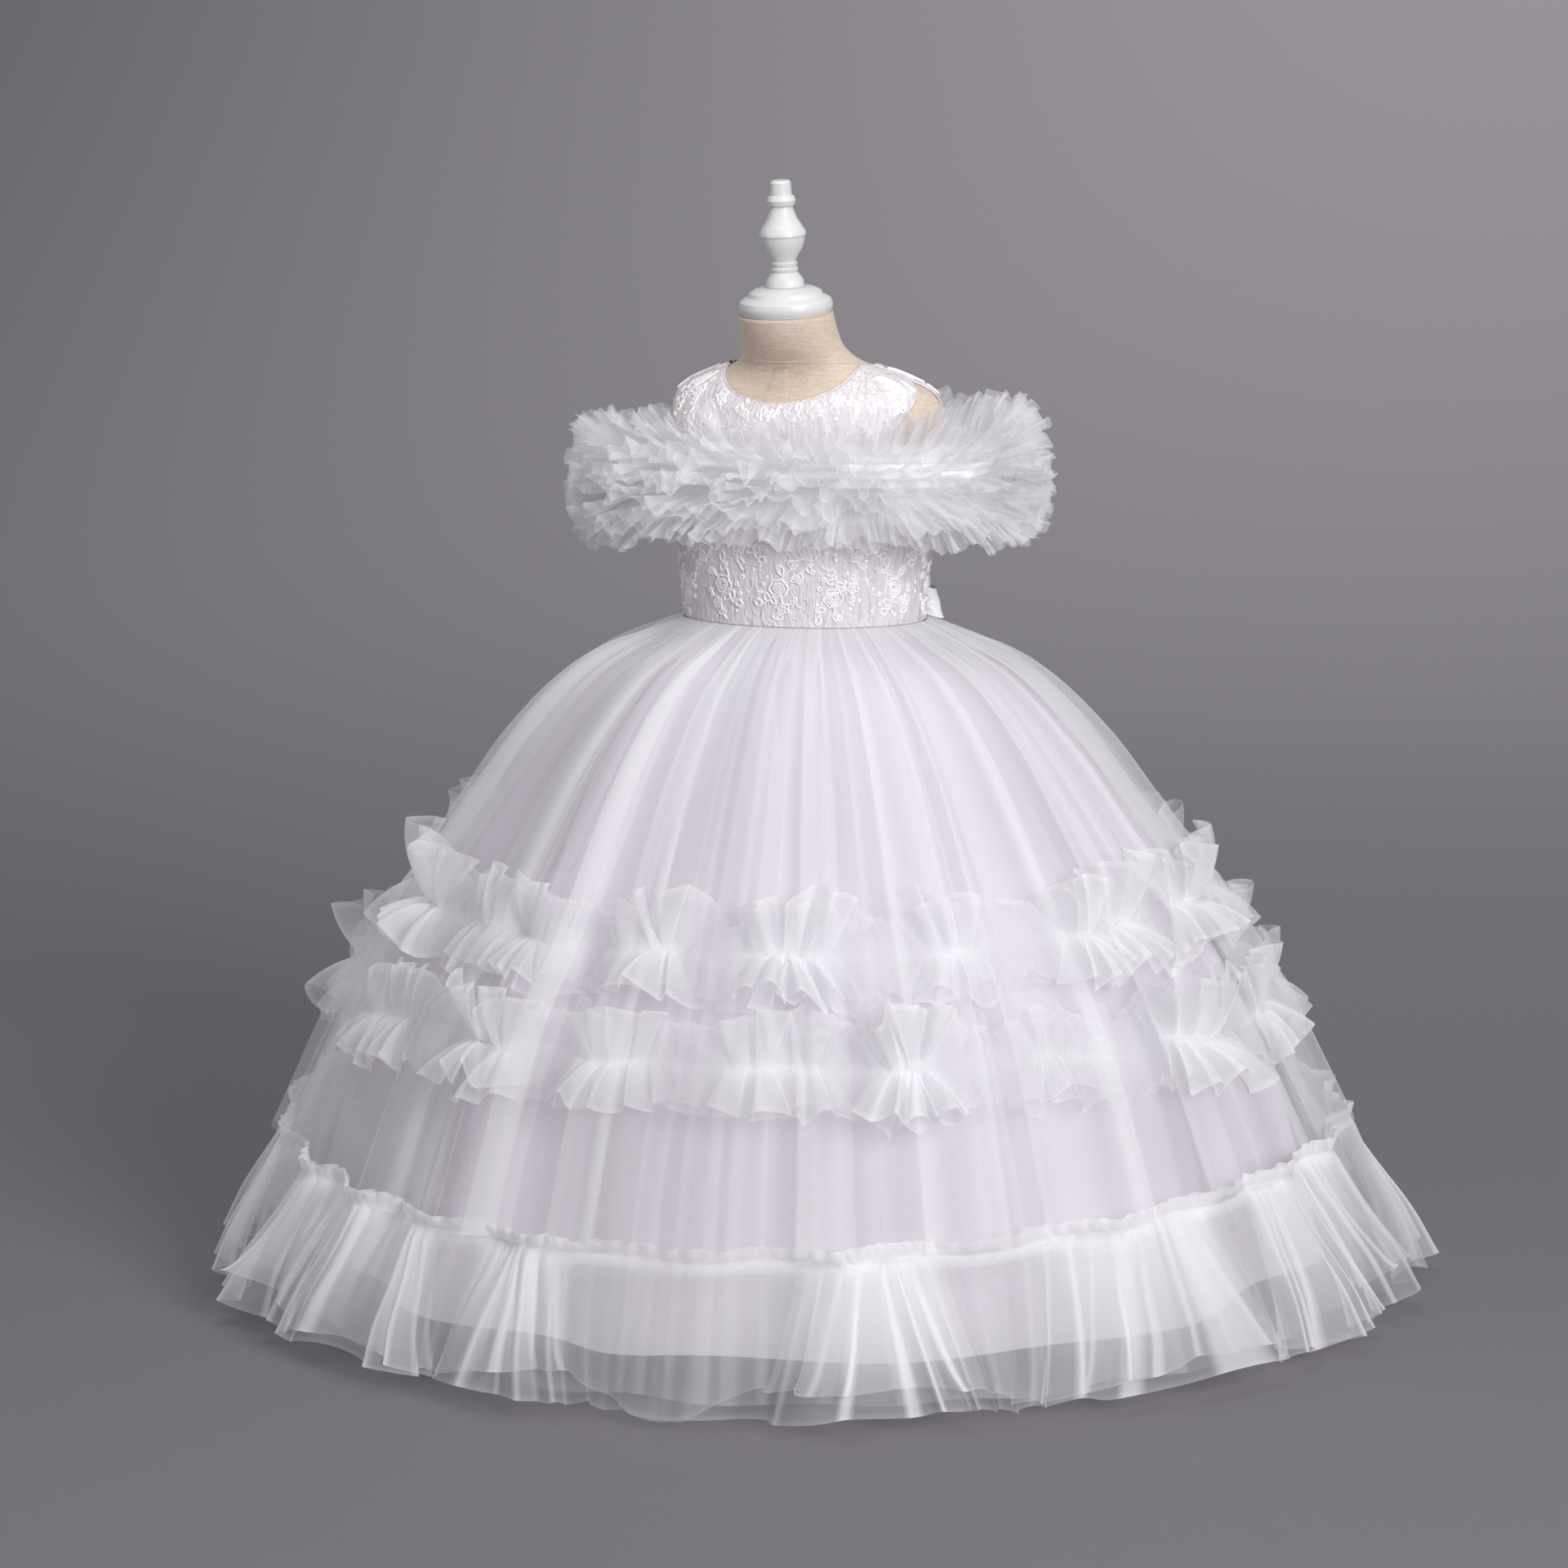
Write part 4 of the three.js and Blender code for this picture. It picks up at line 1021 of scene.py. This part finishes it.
def bow_tail(side):
    """A tail of sash on the back of the skirt, with two soft lengthwise folds and a slanted end."""
    rows = through(TAIL, np.linspace(559.6, 400, 70))
    skirt = through(TULLE, rows[:, 0])
    t = np.linspace(-0.5, 0.5, 31)[None]
    z, lift, centre, width = (rows[:, i : i + 1] for i in range(4))
    a, b, cy = (skirt[:, i : i + 1] for i in (1, 2, 3))
    end = smoothstep(559.6 - z, 120, 160)
    lift = lift + (0.4 + 2.2 * smoothstep(560 - z, 5, 60)) * np.cos(4 * np.pi * t + 0.6)
    angle = (centre + t * width) / a
    return np.stack([
        side * (a + lift) * np.sin(angle),
        cy + (b + lift) * np.cos(angle),
        z + lift + 14 * end * (0.5 + t),
    ], -1)


def squared(v):
    """A number from -1 to 1 moved towards its end by a power below 1, which squares a ball off."""
    return np.sign(v) * np.abs(v) ** 0.7


class GOWN_OT_bow(bpy.types.Operator):
    """Builds the sash bow at the back of the waist: knot, two loops and two tails."""

    bl_idname = "gown.bow"
    bl_label = "Bow"

    def execute(self, context):
        satin = white_satin()
        for half, side in (("left", 1), ("right", -1)):
            loop = grid_object(f"bow_loop_{half}_look", bow_loop(side), flip=side > 0)
            dress(loop, satin, "satin", f"bow_loop_{half}")
            tail = grid_object(f"bow_tail_{half}_look", bow_tail(side), flip=side > 0)
            dress(tail, satin, "satin", f"bow_tail_{half}")
        a = np.linspace(0, np.pi, 33)[:, None]
        b = np.linspace(0, 2 * np.pi, 64, endpoint=False)[None]
        pleat = 1 + 0.05 * np.sin(a) * np.cos(9 * b + 3 * np.cos(a))
        hx, hy, hz = KNOT["half"]
        points = np.stack([
            hx * squared(np.sin(a) * np.sin(b)) * pleat,
            KNOT["y"] + hy * squared(np.sin(a) * np.cos(b)) * pleat,
            KNOT["z"] + hz * squared(np.cos(a)) + 0 * b,
        ], -1)
        knot = grid_object("bow_knot_look", points, wrap=True)
        weld(knot)
        dress(knot, satin, "satin", "bow_knot")
        return {"FINISHED"}


# Stage

# The camera as fitted to the photo: degrees round to the wearer's left and down, metres away from
# the gown, up and aside, and the focal length in mm.
CAMERA = {"turn": 25, "down": 9.1756, "away": 3.6, "up": 1.0, "aside": -0.017, "lens": 100.06}


class GOWN_OT_stage(bpy.types.Operator):
    """Builds the floor that runs up into a backdrop, the soft lights and the camera."""

    bl_idname = "gown.stage"
    bl_label = "Stage"

    def execute(self, context):
        scene = context.scene
        bend = np.linspace(0, np.pi / 2, 24)
        rise, reach = 1 - np.cos(bend), np.sin(bend)
        y = np.concatenate([[-10300], -8800 - 1500 * reach[::-1], 3000 + 4400 * reach, [7400]])
        z = np.concatenate([[3200], 1500 * rise[::-1], 4000 * rise, [7000]])
        x = np.array([-11000.0, 11000.0])
        points = np.stack(np.broadcast_arrays(x[None], y[:, None], z[:, None]), -1)
        sweep = grid_object("studio_sweep", points)
        paper = material("Grey studio paper", "#757276", 0.95, Specular_IOR_Level=0.1)[0]
        sweep.data.materials.append(paper)
        for name, place, aim, size, power in (
            ("key_light", (3.7, -2.5, 2.1), (0, 0, 0.6), 2.0, 197),
            ("fill_light", (-3.2, -3.6, 1.7), (0, 0, 0.6), 3.4, 56),
            ("top_light", (0.3, -0.8, 3.2), (0, 0, 0.5), 2.0, 32),
            ("wall_light", (-1.0, 3.6, 5.0), (-1.5, 7.4, 1.8), 2.6, 305),
        ):
            lamp = bpy.data.lights.new(name, "AREA")
            lamp.shape, lamp.size, lamp.energy = "DISK", size, power
            obj = bpy.data.objects.new(name, lamp)
            scene.collection.objects.link(obj)
            obj.location = place
            self.aim(obj, place, aim)
        world = scene.world or bpy.data.worlds.new("Studio")
        scene.world = world
        world.use_nodes = True
        background = world.node_tree.nodes["Background"]
        background.inputs["Color"].default_value = srgb("#dfe1e6")
        background.inputs["Strength"].default_value = 0.35
        self.add_camera(scene)
        scene.view_settings.view_transform = "Standard"
        scene.cycles.transparent_max_bounces = 10
        scene.cycles.max_bounces = 5
        return {"FINISHED"}

    def aim(self, obj, place, target):
        """Turns an object at place so that it looks at target."""
        way = Vector(target) - Vector(place)
        obj.rotation_euler = way.to_track_quat("-Z", "Y").to_euler()

    def add_camera(self, scene):
        """A long lens that looks a little down at the gown."""
        turn, down = math.radians(CAMERA["turn"]), math.radians(CAMERA["down"])
        lens = bpy.data.cameras.new("camera")
        lens.lens, lens.sensor_width = CAMERA["lens"], 36
        obj = bpy.data.objects.new("camera", lens)
        scene.collection.objects.link(obj)
        right = (math.cos(turn), math.sin(turn))
        ahead = (-math.sin(turn), math.cos(turn))
        x, y = (CAMERA["aside"] * r - CAMERA["away"] * a for r, a in zip(right, ahead))
        obj.location = (x, y, CAMERA["up"])
        obj.rotation_euler = (math.pi / 2 - down, 0, turn)
        scene.camera = obj


class GOWN_PT_panel(bpy.types.Panel):
    """Lists the gown's pieces and settings."""

    bl_idname = "GOWN_PT_panel"
    bl_label = "Gown"
    bl_space_type = "VIEW_3D"
    bl_region_type = "UI"
    bl_category = "Gown"

    def draw(self, context):
        for key in GownSettings.__annotations__:
            self.layout.prop(context.scene.gown, key)
        for operator in OPERATORS:
            self.layout.operator(operator.bl_idname)


OPERATORS = (
    GOWN_OT_form, GOWN_OT_bodice, GOWN_OT_lace, GOWN_OT_skirt, GOWN_OT_frills, GOWN_OT_flounce,
    GOWN_OT_bertha, GOWN_OT_bow, GOWN_OT_stage,
)
CLASSES = (GownSettings, *OPERATORS, GOWN_PT_panel)


def register():
    """Registers the classes and the scene's settings."""
    for cls in CLASSES:
        bpy.utils.register_class(cls)
    bpy.types.Scene.gown = bpy.props.PointerProperty(type=GownSettings)


def unregister():
    """Removes what register added."""
    del bpy.types.Scene.gown
    for cls in reversed(CLASSES):
        bpy.utils.unregister_class(cls)


def main():
    """Builds every piece."""
    register()
    for operator in OPERATORS:
        group, name = operator.bl_idname.split(".")
        getattr(getattr(bpy.ops, group), name)()


if __name__ == "__main__":
    main()
